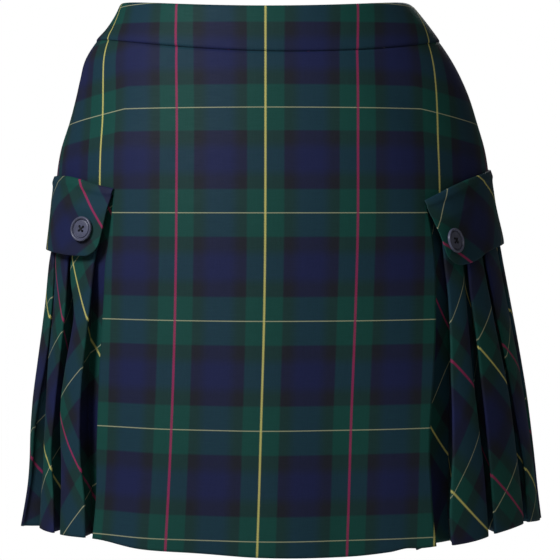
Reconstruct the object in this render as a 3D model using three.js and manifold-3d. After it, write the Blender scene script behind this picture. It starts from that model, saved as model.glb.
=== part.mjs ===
// A tartan skort: a short flared skirt with bias-cut pleated side insets, buttoned flaps and plain inner shorts.
// Millimetres, +Z up, front towards -Y. The origin is the centre of the waist opening, level with its side edges.
import * as THREE from 'three';
import Module from 'manifold-3d';

const wasm = await Module();
wasm.setup();
const { Manifold, CrossSection } = wasm;

// Cloth thicknesses and seams.
const SKIRT_WALL = 1.4;
const PLEAT_WALL = 1.3;
const BAND_WALL = 2.6;
const FLAP_WALL = 1.8;
const SHORTS_WALL = 1.3;
const TAPE_WALL = 1.0;
const SEAM_GAP = 0.3;
const WAIST_STEP = 1.2;
const WAIST_STEP_FADE = 26;
// The side seams run just behind the widest line, this far round from the middle of the front.
const SIDE_SEAM = 106;
// Half a turn in degrees, which is also where the centre back lies.
const HALF_TURN = 180;
const RADIAN = Math.PI / HALF_TURN;

function table(names, rows) {
  return { names, rows };
}

// Value of a named column at a key, by a smooth curve through the rows. The first column is the key, in order.
function at(tab, name, key) {
  const column = tab.names.indexOf(name);
  const rows = tab.rows;
  const last = rows.length - 1;
  const up = rows[last][0] > rows[0][0] ? 1 : -1;
  if ((key - rows[0][0]) * up <= 0) return rows[0][column];
  if ((key - rows[last][0]) * up >= 0) return rows[last][column];
  let k = 0;
  while ((key - rows[k + 1][0]) * up > 0) k += 1;
  const slope = (m) => {
    const before = Math.max(m - 1, 0);
    const after = Math.min(m + 1, last);
    return (rows[after][column] - rows[before][column]) / (rows[after][0] - rows[before][0]);
  };
  const span = rows[k + 1][0] - rows[k][0];
  const s = (key - rows[k][0]) / span;
  const s2 = s * s;
  const s3 = s2 * s;
  return (2 * s3 - 3 * s2 + 1) * rows[k][column] + (s3 - 2 * s2 + s) * span * slope(k)
    + (3 * s2 - 2 * s3) * rows[k + 1][column] + (s3 - s2) * span * slope(k + 1);
}

const mix = (a, b, s) => a + (b - a) * s;
const clamp01 = (s) => Math.min(1, Math.max(0, s));

// Reach of the skirt's outer surface from the centre line, by height.
const SHAPE = table(['z', 'left', 'right', 'front', 'back'], [
  [6, 124, 121, 91, 88],
  [-2, 125, 124, 92, 90],
  [-12, 129.3, 131.7, 94, 93],
  [-22, 136, 139.4, 96, 96],
  [-32, 145.2, 146.6, 98, 99.5],
  [-48, 154.3, 156.4, 101, 104.5],
  [-65, 158.6, 165.2, 105, 110],
  [-82, 162.4, 172.2, 109, 116],
  [-101, 167.4, 178, 113, 122],
  [-124, 174.6, 184.6, 118, 128],
  [-145, 178, 188, 121.5, 132],
  [-170, 179.2, 190.6, 125.5, 135.5],
  [-200, 181.6, 196.6, 129, 138],
  [-221, 184.8, 200.2, 131, 139],
  [-252, 187.4, 205.6, 134, 141],
  [-277, 190.3, 210, 136.5, 143],
  [-303, 193.6, 214.3, 139, 145],
  [-332, 196.6, 218.8, 141.8, 147.5],
  [-362, 198.2, 222.6, 144.6, 150],
  [-388, 199.4, 225.6, 146.6, 152],
  [-411, 202, 228, 148.2, 153.5],
  [-448, 209.4, 232.8, 150, 156],
]);

// Height of the hem round the skirt, by angle from the middle of the front, positive to the wearer's left.
const HEM = table(['angle', 'z'], [
  [-180, -441], [-140, -441.5], [-112, -442], [-98, -443], [-90, -444], [-80, -439], [-66, -434.5], [-57, -436.5],
  [-43, -436.7], [-30, -440.8], [-15, -442.4], [0, -444.6], [20, -444.8], [30, -442.3], [34, -440],
  [38, -440.3], [45, -438.3], [53, -434.6], [60, -432.4], [66, -431.5], [76, -433.4], [90, -436],
  [98, -438], [112, -440], [140, -441.5], [180, -441],
]);

// Line of the seam that joins each pleated inset to the front, hidden under the flap.
const INSET_SEAM = table(['angle', 'z'], [
  [-106, -154], [-90, -154], [-70, -155], [-44, -163], [0, -168], [42, -171], [60, -156], [80, -149], [106, -148],
]);

// Angles of the front panel's free edge, of the four pleat folds and of where each face turns in behind the next,
// and how far the pleats stand open.
const LEFT_PLEATS = table(['z', 'edge', 'fold1', 'rear1', 'fold2', 'rear2', 'fold3', 'rear3', 'fold4', 'open'], [
  [-150, 44.0, 48.5, 61.4, 63.0, 75.2, 77.0, 86.8, 89.2, 0],
  [-209, 45.4, 50.3, 62.2, 63.8, 75.2, 77.0, 86.2, 88.6, 0.1],
  [-232, 45.3, 50.7, 61.4, 63.4, 73.0, 74.8, 85.8, 88.2, 0.28],
  [-248, 45.2, 51.0, 59.4, 63.1, 72.4, 74.1, 85.5, 88.0, 0.46],
  [-264, 45.1, 51.2, 58.4, 62.9, 71.8, 73.6, 85.2, 87.8, 0.6],
  [-300, 44.6, 51.4, 59.7, 62.5, 70.6, 72.8, 84.8, 87.8, 0.8],
  [-335, 44.3, 51.1, 60.4, 62.7, 68.8, 76.4, 87.0, 90.4, 0.95],
  [-376, 44.4, 50.3, 59.1, 63.7, 68.2, 84.4, 91.8, 95.0, 1],
  [-408, 44.0, 47.9, 57.8, 60.8, 68.4, 88.4, 94.8, 97.8, 1],
  [-448, 43.3, 45.1, 54.7, 56.2, 64.4, 91.2, 97.4, 99.8, 0.9],
]);
const RIGHT_PLEATS = table(['z', 'edge', 'fold1', 'rear1', 'fold2', 'rear2', 'fold3', 'rear3', 'fold4', 'open'], [
  [-150, 41.5, 46.6, 53.8, 55.6, 63.2, 65.2, 77.6, 79.8, 0],
  [-180, 42.0, 46.2, 53.4, 55.2, 63.2, 65.2, 77.8, 80.0, 0.04],
  [-219, 41.6, 45.5, 52.8, 54.8, 63.4, 65.2, 78.0, 80.4, 0.16],
  [-243, 40.4, 45.2, 52.2, 53.9, 64.0, 65.6, 78.4, 81.0, 0.34],
  [-280, 38.2, 43.7, 51.2, 53.6, 64.8, 66.5, 79.0, 82.2, 0.58],
  [-307, 36.5, 42.5, 50.6, 53.0, 65.8, 67.5, 79.6, 83.2, 0.76],
  [-339, 34.5, 41.4, 50.5, 52.7, 66.4, 68.4, 80.2, 84.2, 0.92],
  [-370, 33.3, 40.3, 50.6, 52.4, 66.4, 69.8, 80.8, 85.0, 1],
  [-388, 33.1, 39.4, 50.6, 52.3, 66.7, 70.6, 81.2, 85.4, 1],
  [-420, 33.1, 38.1, 50.5, 52.0, 66.8, 69.4, 81.8, 85.6, 0.94],
  [-448, 33.6, 38.4, 50.0, 51.6, 64.9, 67.2, 82.4, 85.8, 0.84],
]);

// Cloth hidden behind each fold at the top and where the pleats stand open, in millimetres.
const LEFT_TUCK = { fold1: [9, 9], fold2: [9, 9], fold3: [9, 2], fold4: [9, 9] };
const RIGHT_TUCK = { fold1: [9, 9], fold2: [9, 9], fold3: [9, 9], fold4: [9, 9] };

// Levels of the three layers of a pleat, as distances out from the skirt's surface.
const FACE_LEVEL = -0.65;
const LAYER_STEP = 1.9;
const FACE_RISE = 1.3;
const INNER_DROP = 15;
const NOSE_REACH = 2.2;
const NOSE_ROUND = 0.5;
const NOSE_SHOULDER = 0.3;
// Stations before the first fold: distance from the panel's edge, and height over the inner layer shut and open.
const PLEAT_START = table(['along', 'shut', 'open'], [[-14, 1.2, 13.5], [-5, 1, 9.5], [1, 0.8, 6]]);
// The layer behind a fold: share of the tuck at its middle station and distances short of there and of its nose.
const TUCK = { share: 0.4, before: 1, noseBefore: 1.2 };
// Crown of each face by share across it, its turn behind the next fold, and the last face's run to the side seam.
const FACE_CROWN = table(['share', 'crown'], [[0.36, 0.9], [0.68, 0.6]]);
const FACE_TURN = { before: 3.5, drop: 0.2, openDrop: 0.6, level: 0.3, past: 1.5, pastLevel: 0.62 };
const LAST_FACE = table(['share', 'faceShare', 'crown'], [[0.3, 1, 0.9], [0.6, 0.5, 0.7], [0.82, 0, 0.2]]);
const INSET_ROWS = { top: -156, foot: -440 };
const MITER = { most: 1.25, leastCosine: 0.5 };

// Outline and lift of each flap: front edge by depth, bottom edge by angle and stand-off from the skirt by angle.
const LEFT_FLAP_EDGE = table(['z', 'angle'], [[-140, 43], [-156, 43.9], [-176, 45.7], [-191, 46.7], [-214, 48.3]]);
const RIGHT_FLAP_EDGE = table(['z', 'angle'], [[-140, 39], [-164, 40.4], [-178, 40.8], [-196, 42.7], [-220, 44.4]]);
const LEFT_FLAP = table(['angle', 'top', 'bottom', 'lift'], [
  [43, -158.8, -211.8, 2.4], [50, -155.4, -211.8, 3.5], [58, -150.6, -211.2, 5.8], [66, -147.3, -209.4, 6.6],
  [78, -146.6, -208, 3.2], [90, -147.2, -207.4, 0.9], [106, -147.4, -207.2, 0.8],
]);
const RIGHT_FLAP = table(['angle', 'top', 'bottom', 'lift'], [
  [40, -168, -218.8, 7.8], [47.4, -160.2, -218.4, 6.4], [53, -155, -215.6, 4.8], [62, -148.9, -208.2, 3.4],
  [77, -143.1, -203.8, 1.8], [90, -141.1, -202.4, 0.9], [106, -141, -202, 0.8],
]);
const FLAP_CORNER = 11;
const FLAP_DEPTHS = [0, 0.055, 0.09, 0.14, 0.34, 0.58, 0.8, 1];
const FLAP_RIDGE = [0, 0.7, 0.9, 0.2, 0.3, 0.7, 1.1, 1.4];
// The stations' angles are spread at this height. A flap stands off less at its top and never touches what it covers.
const FLAP_MIDDLE_Z = -180;
const FLAP_HOLD = { topShare: 0.35, fullAt: 0.34, least: 0.5 };
const FLAP_STATIONS = [0, 1.4, 4, 7.5, 11, 17, 26, 38, 52, 67, 83, 100, 118, 136, 152];

// Reach of one half of the inner shorts by height, and its leg.
const SHORTS = table(['z', 'side', 'front', 'back'], [
  [-30, 137, 91, 92], [-50, 148, 95, 98], [-80, 156.6, 100.6, 106.5], [-124, 165, 106, 115], [-165, 168, 108, 119],
  [-220, 169.6, 105, 117], [-275, 171, 98, 106],
]);
const CROTCH = { y: 8, z: -270, sideZ: -250 };
const LEG = { x: 86, wide: 85, deep: 92, hemX: 92, hemWide: 78, hemDeep: 84, hemZ: -398 };

// Buttons, and the zip's slider and pull tab.
const BUTTON_SEGMENTS = 24;
const BUTTON_PROFILE = [[0, 0], [8.4, 0], [10, 1.1], [10, 2.2], [9.3, 2.95], [8.2, 2.9], [7.2, 2.0], [0, 2.15]];
const BUTTON_HOLE_RADIUS = 0.95;
const BUTTON_HOLE_OFFSET = 1.75;
const BUTTON_HOLE_SIDES = 8;
const BUTTON_HOLE_LONG = 4;
const BUTTON_HOLE_START = -0.5;
// Place of each button, its turn in its own plane and its tip towards the viewer's right, in degrees.
const LEFT_BUTTON = { angle: -53.3, z: -190.1, turn: 5, tip: 6 };
const RIGHT_BUTTON = { angle: 46.6, z: -199.4, turn: 3, tip: 9 };
// Stand-off of a button's middle from its flap, the reach over which its slope is taken, and its lean down the flap.
const BUTTON_SIT = { stand: 1.35, across: 3, down: 8, lean: 0.3, ridgeRow: 5 };
const SLIDER = { z: -13, wide: 7, long: 10, base: 0.35, top: 2.5, reach: 12 };
const LUG = { inner: 1.25, outer: 2.0, long: 3.2, top: 4.9, sunk: 0.4 };
const PIN = { radius: 0.55, height: 4.0, sides: 16, short: 0.2 };
const PULL = { eye: 1.3, hole: 0.78, eyeWide: 2.1, neck: 3.2, overlap: 1, wide: 4.8, thick: 1.0, long: 24, lean: 5 };
const WINDOW = { border: 1.2, long: 7, fromEnd: 6 };
// The tape stands off the cloth outside it, which grows thinner below the waistband.
const TAPE = { wide: 24, top: -4, bottom: -205, thinFrom: -62, thinOver: 40, off: 1.2 };

// Point on the skirt's surface at an angle and height, moved out square to the surface by a distance.
function onSkirt(angle, z, out) {
  const left = at(SHAPE, 'left', z);
  const right = at(SHAPE, 'right', z);
  const reach = (left + right) / 2;
  const centre = (right - left) / 2;
  const turn = angle * RADIAN;
  const deep = at(SHAPE, Math.cos(turn) > 0 ? 'front' : 'back', z);
  const nx = Math.sin(turn) / reach;
  const ny = -Math.cos(turn) / deep;
  const size = Math.hypot(nx, ny);
  return [
    centre + reach * Math.sin(turn) + (out * nx) / size,
    -deep * Math.cos(turn) + (out * ny) / size,
    z,
  ];
}

// Degrees that a distance along the skirt's surface takes up at an angle and height.
function degreesFor(distance, angle, z) {
  const turn = angle * RADIAN;
  const reach = (at(SHAPE, 'left', z) + at(SHAPE, 'right', z)) / 2;
  const deep = at(SHAPE, Math.cos(turn) > 0 ? 'front' : 'back', z);
  return distance / Math.hypot(reach * Math.cos(turn), deep * Math.sin(turn)) / RADIAN;
}

// Top edge and lower seam of the waistband by angle: both dip towards the middle of the front.
const TOP_EDGE = { side: -0.8, dip: 9.2, rightDrop: 3.4, rightAt: 90, rightSpread: 13, backRise: 2.6 };
const WAIST_SEAM = { side: -32.6, dip: 14.6, backDip: 2.8, tilt: 1.6 };

function topZ(angle) {
  const square = Math.cos(angle * RADIAN) ** 2;
  const drop = TOP_EDGE.rightDrop * Math.exp(-(((angle - TOP_EDGE.rightAt) / TOP_EDGE.rightSpread) ** 2));
  return TOP_EDGE.side - drop + (Math.abs(angle) < 90 ? -TOP_EDGE.dip * square : TOP_EDGE.backRise * square);
}

function seamZ(angle) {
  const square = Math.cos(angle * RADIAN) ** 2;
  if (Math.abs(angle) >= 90) return WAIST_SEAM.side - WAIST_SEAM.backDip * square;
  return WAIST_SEAM.side - WAIST_SEAM.dip * square - WAIST_SEAM.tilt * Math.sin(2 * angle * RADIAN);
}

// The skirt sits a little inside the waistband at the seam and comes out to the surface below it.
function waistStep(angle, z) {
  return -WAIST_STEP * clamp01(1 - (seamZ(angle) - z) / WAIST_STEP_FADE) ** 2;
}

// Closed cloth solid from a grid of outer and inner points. Cells that are not here leave a cut edge, and rows that
// are joined meet themselves where the last column comes round to the first.
function clothSolid(columns, rows, outer, inner, here = () => true, joined = () => false) {
  const corners = [];
  const quad = (a, b, c, d) => corners.push(a, b, c, a, c, d);
  const out = [];
  const ins = [];
  for (let j = 0; j <= rows; j += 1) {
    out.push([]);
    ins.push([]);
    for (let i = 0; i <= columns; i += 1) {
      out[j].push(outer(i, j));
      ins[j].push(inner(i, j));
    }
  }
  const present = (i, j) => {
    if (j < 0 || j >= rows) return false;
    if (i < 0 || i >= columns) return joined(j);
    return here(i, j);
  };
  for (let j = 0; j < rows; j += 1) {
    for (let i = 0; i < columns; i += 1) {
      if (!here(i, j)) continue;
      quad(out[j][i], out[j + 1][i], out[j + 1][i + 1], out[j][i + 1]);
      quad(ins[j][i], ins[j][i + 1], ins[j + 1][i + 1], ins[j + 1][i]);
      if (!present(i, j - 1)) quad(out[j][i], out[j][i + 1], ins[j][i + 1], ins[j][i]);
      if (!present(i, j + 1)) quad(out[j + 1][i + 1], out[j + 1][i], ins[j + 1][i], ins[j + 1][i + 1]);
      if (!present(i - 1, j)) quad(out[j + 1][i], out[j][i], ins[j][i], ins[j + 1][i]);
      if (!present(i + 1, j)) quad(out[j][i + 1], out[j + 1][i + 1], ins[j + 1][i + 1], ins[j][i + 1]);
    }
  }
  let volume = 0;
  for (let k = 0; k < corners.length; k += 3) {
    const [a, b, c] = [corners[k], corners[k + 1], corners[k + 2]];
    volume += a[0] * (b[1] * c[2] - b[2] * c[1]) + a[1] * (b[2] * c[0] - b[0] * c[2])
      + a[2] * (b[0] * c[1] - b[1] * c[0]);
  }
  if (volume < 0) {
    for (let k = 0; k < corners.length; k += 3) {
      [corners[k + 1], corners[k + 2]] = [corners[k + 2], corners[k + 1]];
    }
  }
  const geometry = new THREE.BufferGeometry();
  geometry.setAttribute('position', new THREE.Float32BufferAttribute(corners.flat(), 3));
  geometry.computeVertexNormals();
  return geometry;
}

function fromManifold(solid) {
  const mesh = solid.getMesh();
  const step = mesh.numProp;
  const places = [];
  for (const v of mesh.triVerts) {
    places.push(mesh.vertProperties[v * step], mesh.vertProperties[v * step + 1], mesh.vertProperties[v * step + 2]);
  }
  const geometry = new THREE.BufferGeometry();
  geometry.setAttribute('position', new THREE.Float32BufferAttribute(places, 3));
  geometry.computeVertexNormals();
  return geometry;
}

const part = new THREE.Group();
part.name = 'skort';

function add(name, geometry, color, finish) {
  const material = new THREE.MeshStandardMaterial({ color, roughness: finish.rough, metalness: finish.metal });
  const mesh = new THREE.Mesh(geometry, material);
  mesh.name = name;
  part.add(mesh);
}

const CLOTH = { rough: 0.8, metal: 0 };
const HORN = { rough: 0.35, metal: 0 };
const METAL = { rough: 0.35, metal: 0.9 };

// The waistband: one piece across the front and two behind, folded over at the top.
const BAND_DEPTHS = [0, 0.06, 0.5, 1];
const BAND_TOP_ROUND = 0.7;
const BAND_COLUMNS = { front: 30, back: 12 };

function bandPiece(from, to, columns) {
  const angleAt = (i, z) => {
    const start = from + degreesFor(SEAM_GAP / 2, from, z);
    const end = to - degreesFor(SEAM_GAP / 2, to, z);
    return mix(start, end, i / columns);
  };
  const place = (i, j, out) => {
    const rough = mix(from, to, i / columns);
    const z = mix(topZ(rough), seamZ(rough) + SEAM_GAP / 2, BAND_DEPTHS[j]);
    return onSkirt(angleAt(i, z), z, out);
  };
  const rolled = (j) => (j === 0 ? BAND_TOP_ROUND : 0);
  return clothSolid(columns, BAND_DEPTHS.length - 1,
    (i, j) => place(i, j, -rolled(j)), (i, j) => place(i, j, -BAND_WALL + rolled(j)));
}

// The front: from side seam to side seam above the flaps, then a panel with two free edges.
const FRONT_SIDE_COLUMNS = 8;
const FRONT_PANEL_COLUMNS = 16;
const FRONT_UPPER_ROWS = 5;
const FRONT_LOWER_ROWS = 10;
const PANEL_LIFT = 2.2;
const PANEL_LIFT_REACH = 9;
const PANEL_LIFT_LENGTH = 140;
const FRONT_WAVE = { size: 1.4, from: -190, over: 250, perTurn: 11, phase: 0.7 };
// Heights at which the two free edges start, which set the spread of the columns.
const PANEL_TOP = { left: -163, right: -171 };

// Soft upright waves in the hanging cloth, growing towards the hem.
function frontWave(angle, z) {
  const fall = clamp01((FRONT_WAVE.from - z) / FRONT_WAVE.over);
  return FRONT_WAVE.size * fall * fall * Math.sin(FRONT_WAVE.perTurn * angle * RADIAN + FRONT_WAVE.phase);
}

function frontPlace(i, j, out) {
  const columns = FRONT_SIDE_COLUMNS * 2 + FRONT_PANEL_COLUMNS;
  const leftTop = -at(LEFT_PLEATS, 'edge', PANEL_TOP.left);
  const rightTop = at(RIGHT_PLEATS, 'edge', PANEL_TOP.right);
  const onLeft = i <= FRONT_SIDE_COLUMNS;
  const onRight = i >= columns - FRONT_SIDE_COLUMNS;
  const sideShare = onLeft ? i / FRONT_SIDE_COLUMNS : (columns - i) / FRONT_SIDE_COLUMNS;
  const panelShare = (i - FRONT_SIDE_COLUMNS) / FRONT_PANEL_COLUMNS;
  let rough = mix(leftTop, rightTop, panelShare);
  if (onLeft) rough = mix(-SIDE_SEAM, leftTop, sideShare);
  if (onRight) rough = mix(SIDE_SEAM, rightTop, sideShare);
  const top = seamZ(rough) - SEAM_GAP / 2;
  const cut = at(INSET_SEAM, 'z', rough);
  const z = j <= FRONT_UPPER_ROWS
    ? mix(top, cut, j / FRONT_UPPER_ROWS)
    : mix(cut, at(HEM, 'z', rough), (j - FRONT_UPPER_ROWS) / FRONT_LOWER_ROWS);
  const leftEdge = -at(LEFT_PLEATS, 'edge', z);
  const rightEdge = at(RIGHT_PLEATS, 'edge', z);
  let angle = mix(leftEdge, rightEdge, panelShare);
  if (onLeft) angle = mix(-SIDE_SEAM + degreesFor(SEAM_GAP / 2, SIDE_SEAM, z), leftEdge, sideShare);
  if (onRight) angle = mix(SIDE_SEAM - degreesFor(SEAM_GAP / 2, SIDE_SEAM, z), rightEdge, sideShare);
  const below = clamp01((cut - z) / PANEL_LIFT_LENGTH);
  const nearEdge = Math.exp(-(angle - leftEdge) / PANEL_LIFT_REACH) + Math.exp(-(rightEdge - angle) / PANEL_LIFT_REACH);
  const lift = onLeft && i < FRONT_SIDE_COLUMNS || onRight && i > columns - FRONT_SIDE_COLUMNS
    ? 0 : PANEL_LIFT * below * nearEdge;
  return onSkirt(angle, z, out + lift + waistStep(angle, z) + frontWave(angle, z));
}

const frontColumns = FRONT_SIDE_COLUMNS * 2 + FRONT_PANEL_COLUMNS;
const frontHere = (i, j) => j < FRONT_UPPER_ROWS
  || (i >= FRONT_SIDE_COLUMNS && i < frontColumns - FRONT_SIDE_COLUMNS);

// A back panel, from its side seam to the centre back.
const BACK_COLUMNS = 12;
const BACK_ROWS = 12;
const BACK_WAVE = { size: 2.4, from: -200, over: 240, perTurn: 9 };

function backPlace(side, i, j, out) {
  const share = i / BACK_COLUMNS;
  const rough = mix(SIDE_SEAM, HALF_TURN, share);
  const z = mix(seamZ(side * rough) - SEAM_GAP / 2, at(HEM, 'z', side * rough), j / BACK_ROWS);
  const start = SIDE_SEAM + degreesFor(SEAM_GAP / 2, SIDE_SEAM, z);
  const end = HALF_TURN - degreesFor(SEAM_GAP / 2, HALF_TURN, z);
  const angle = mix(start, end, share);
  const fall = clamp01((BACK_WAVE.from - z) / BACK_WAVE.over);
  const held = Math.sin(Math.PI * share);
  const wave = BACK_WAVE.size * fall * held * Math.sin(BACK_WAVE.perTurn * angle * RADIAN);
  return onSkirt(side * angle, z, out + wave + waistStep(side * angle, z));
}

// A pleated inset. Its section runs from under the front panel, in behind each fold, out to the fold and back along
// the face, and ends at the side seam. Each station is an angle and a level on the middle of the cloth.
const PLEAT_ROWS = 11;

function pleatSection(side, z) {
  const pleats = side < 0 ? LEFT_PLEATS : RIGHT_PLEATS;
  const tucks = side < 0 ? LEFT_TUCK : RIGHT_TUCK;
  const open = at(pleats, 'open', z);
  const face = FACE_LEVEL + FACE_RISE * open;
  const inner = FACE_LEVEL - 2 * LAYER_STEP - INNER_DROP * open;
  const edge = at(pleats, 'edge', z);
  const stations = [];
  const put = (angle, along, level) => stations.push([angle + degreesFor(along, angle, z), level]);
  for (const [along, shut, opened] of PLEAT_START.rows) put(edge, along, inner + shut + opened * open);
  const folds = ['fold1', 'fold2', 'fold3', 'fold4'];
  folds.forEach((name, k) => {
    const fold = at(pleats, name, z);
    const tuck = mix(tucks[name][0], tucks[name][1], open);
    const rise = Math.max(tuck, 0);
    put(fold, tuck * TUCK.share - TUCK.before, inner);
    put(fold, tuck - TUCK.noseBefore, inner);
    put(fold, tuck + NOSE_ROUND, inner + NOSE_SHOULDER);
    put(fold, tuck + 2 * NOSE_ROUND, inner + LAYER_STEP / 2);
    put(fold, tuck + NOSE_ROUND, inner + LAYER_STEP - NOSE_SHOULDER);
    put(fold, mix(tuck, NOSE_REACH, 0.5), mix(inner + LAYER_STEP, face - LAYER_STEP, 0.5));
    put(fold, Math.min(NOSE_REACH, rise), face - LAYER_STEP);
    put(fold, NOSE_ROUND, face - LAYER_STEP + NOSE_SHOULDER);
    put(fold, 0, face - LAYER_STEP / 2);
    put(fold, NOSE_ROUND, face - NOSE_SHOULDER);
    put(fold, NOSE_REACH, face);
    if (k < folds.length - 1) {
      const rear = at(pleats, `rear${k + 1}`, z);
      for (const [share, crown] of FACE_CROWN.rows) stations.push([mix(fold, rear, share), face + crown * open]);
      put(rear, -FACE_TURN.before, face - FACE_TURN.drop - FACE_TURN.openDrop * open);
      put(rear, 0, mix(face, inner, FACE_TURN.level));
      put(rear, FACE_TURN.past + open, mix(face, inner, FACE_TURN.pastLevel));
    } else {
      const end = SIDE_SEAM - degreesFor(SEAM_GAP / 2, SIDE_SEAM, z);
      for (const [share, faceShare, crown] of LAST_FACE.rows) {
        stations.push([mix(fold, end, share), mix(FACE_LEVEL, face, faceShare) + crown * open]);
      }
      stations.push([end, FACE_LEVEL]);
    }
  });
  return stations;
}

// Rows of the inset as places on both sides of the cloth, square to its folded line in plan.
function pleatRow(side, share) {
  const nominal = mix(INSET_ROWS.top, INSET_ROWS.foot, share);
  const rough = pleatSection(side, nominal);
  const middle = rough.map(([angle], i) => {
    const z = mix(at(INSET_SEAM, 'z', side * angle) - SEAM_GAP, at(HEM, 'z', side * angle), share);
    const [turned, level] = pleatSection(side, z)[i];
    return onSkirt(side * turned, z, level);
  });
  const last = middle.length - 1;
  return middle.map((point, i) => {
    const before = middle[Math.max(i - 1, 0)];
    const after = middle[Math.min(i + 1, last)];
    const back = [point[0] - before[0], point[1] - before[1]];
    const on = [after[0] - point[0], after[1] - point[1]];
    const unit = (v) => {
      const size = Math.hypot(v[0], v[1]) || 1;
      return [v[0] / size, v[1] / size];
    };
    const a = i === 0 ? unit(on) : unit(back);
    const b = i === last ? unit(back) : unit(on);
    const along = unit([a[0] + b[0], a[1] + b[1]]);
    const miter = Math.min(MITER.most, 1 / Math.max(MITER.leastCosine, a[0] * along[0] + a[1] * along[1]));
    const half = (PLEAT_WALL / 2) * miter;
    return [
      [point[0] + along[1] * half, point[1] - along[0] * half, point[2]],
      [point[0] - along[1] * half, point[1] + along[0] * half, point[2]],
    ];
  });
}

function pleatedInset(side) {
  const rows = [];
  for (let j = 0; j <= PLEAT_ROWS; j += 1) rows.push(pleatRow(side, j / PLEAT_ROWS));
  return clothSolid(rows[0].length - 1, PLEAT_ROWS, (i, j) => rows[j][i][0], (i, j) => rows[j][i][1]);
}

// A flap over the top of an inset, with a rounded front corner.
function flapPlace(side, i, j, out) {
  const flap = side < 0 ? LEFT_FLAP : RIGHT_FLAP;
  const edge = side < 0 ? LEFT_FLAP_EDGE : RIGHT_FLAP_EDGE;
  const last = FLAP_STATIONS.length - 1;
  const share = FLAP_STATIONS[i] / FLAP_STATIONS[last];
  const rough = mix(at(edge, 'angle', FLAP_MIDDLE_Z), SIDE_SEAM, share);
  const top = at(flap, 'top', rough);
  const into = Math.min(FLAP_STATIONS[i], FLAP_CORNER);
  const corner = FLAP_CORNER - Math.sqrt(FLAP_CORNER ** 2 - (FLAP_CORNER - into) ** 2);
  const bottom = at(flap, 'bottom', rough) + corner;
  const z = mix(top, bottom, FLAP_DEPTHS[j]);
  const start = at(edge, 'angle', z);
  const end = SIDE_SEAM - degreesFor(SEAM_GAP / 2, SIDE_SEAM, z);
  const angle = mix(start, end, share);
  const held = mix(FLAP_HOLD.topShare, 1, clamp01(FLAP_DEPTHS[j] / FLAP_HOLD.fullAt));
  const lift = at(flap, 'lift', angle) * held + FLAP_RIDGE[j];
  return onSkirt(side * angle, z, Math.max(lift, FLAP_HOLD.least) + out);
}

function flapSolid(side) {
  return clothSolid(FLAP_STATIONS.length - 1, FLAP_DEPTHS.length - 1,
    (i, j) => flapPlace(side, i, j, FLAP_WALL), (i, j) => flapPlace(side, i, j, 0));
}

// A four-hole button laid on its flap, turned a little about the upright as the flap sits.
function buttonSolid(side, spot) {
  const flap = side < 0 ? LEFT_FLAP : RIGHT_FLAP;
  const disc = Manifold.revolve(new CrossSection([BUTTON_PROFILE]), BUTTON_SEGMENTS);
  let solid = disc;
  for (const [sx, sy] of [[1, 1], [1, -1], [-1, 1], [-1, -1]]) {
    const hole = Manifold.cylinder(BUTTON_HOLE_LONG, BUTTON_HOLE_RADIUS, BUTTON_HOLE_RADIUS, BUTTON_HOLE_SIDES)
      .translate([sx * BUTTON_HOLE_OFFSET, sy * BUTTON_HOLE_OFFSET, BUTTON_HOLE_START]);
    solid = solid.subtract(hole);
  }
  const reach = Math.abs(spot.angle);
  const lift = at(flap, 'lift', reach) + FLAP_RIDGE[BUTTON_SIT.ridgeRow] + FLAP_WALL;
  const spotAt = (angle, z, out) => new THREE.Vector3(...onSkirt(side * angle, z, out));
  const [ahead, behind] = [reach + BUTTON_SIT.across, reach - BUTTON_SIT.across];
  const across = spotAt(ahead, spot.z, at(flap, 'lift', ahead))
    .sub(spotAt(behind, spot.z, at(flap, 'lift', behind))).multiplyScalar(side);
  const down = spotAt(reach, spot.z - BUTTON_SIT.down, lift + BUTTON_SIT.lean)
    .sub(spotAt(reach, spot.z + BUTTON_SIT.down, lift - BUTTON_SIT.lean));
  const upright = down.negate().normalize();
  const out = new THREE.Vector3().crossVectors(across, upright).normalize();
  const sideways = new THREE.Vector3().crossVectors(upright, out).normalize();
  const frame = new THREE.Matrix4().makeBasis(sideways, upright, out);
  frame.setPosition(spotAt(reach, spot.z, lift + BUTTON_SIT.stand));
  frame.multiply(new THREE.Matrix4().makeRotationY(spot.tip * RADIAN));
  frame.multiply(new THREE.Matrix4().makeRotationZ(-spot.turn * RADIAN));
  return fromManifold(solid.transform(frame.elements));
}

// One half of the inner shorts: the hip part is open along the centre seam, and the leg closes on itself below.
const SHORTS_COLUMNS = 20;
const SHORTS_HIP_ROWS = 7;
const SHORTS_LEG_ROWS = 3;
// The shorts are caught in the waist seam just inside the skirt, with room for the zip's tape behind.
const SHORTS_CAUGHT = -3.9;
const SHORTS_BELOW_SEAM = 1;
// Share of the hip's depth by which the cloth is free of the skirt, and how late it turns in to the leg.
const SHORTS_FREE_AT = 1 / 2.4;
const SHORTS_TURN_IN = 4;
const ZIP_ROOM = 3;
const ZIP_ROOM_FROM = 166;
const ZIP_ROOM_FADE = 6;

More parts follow.
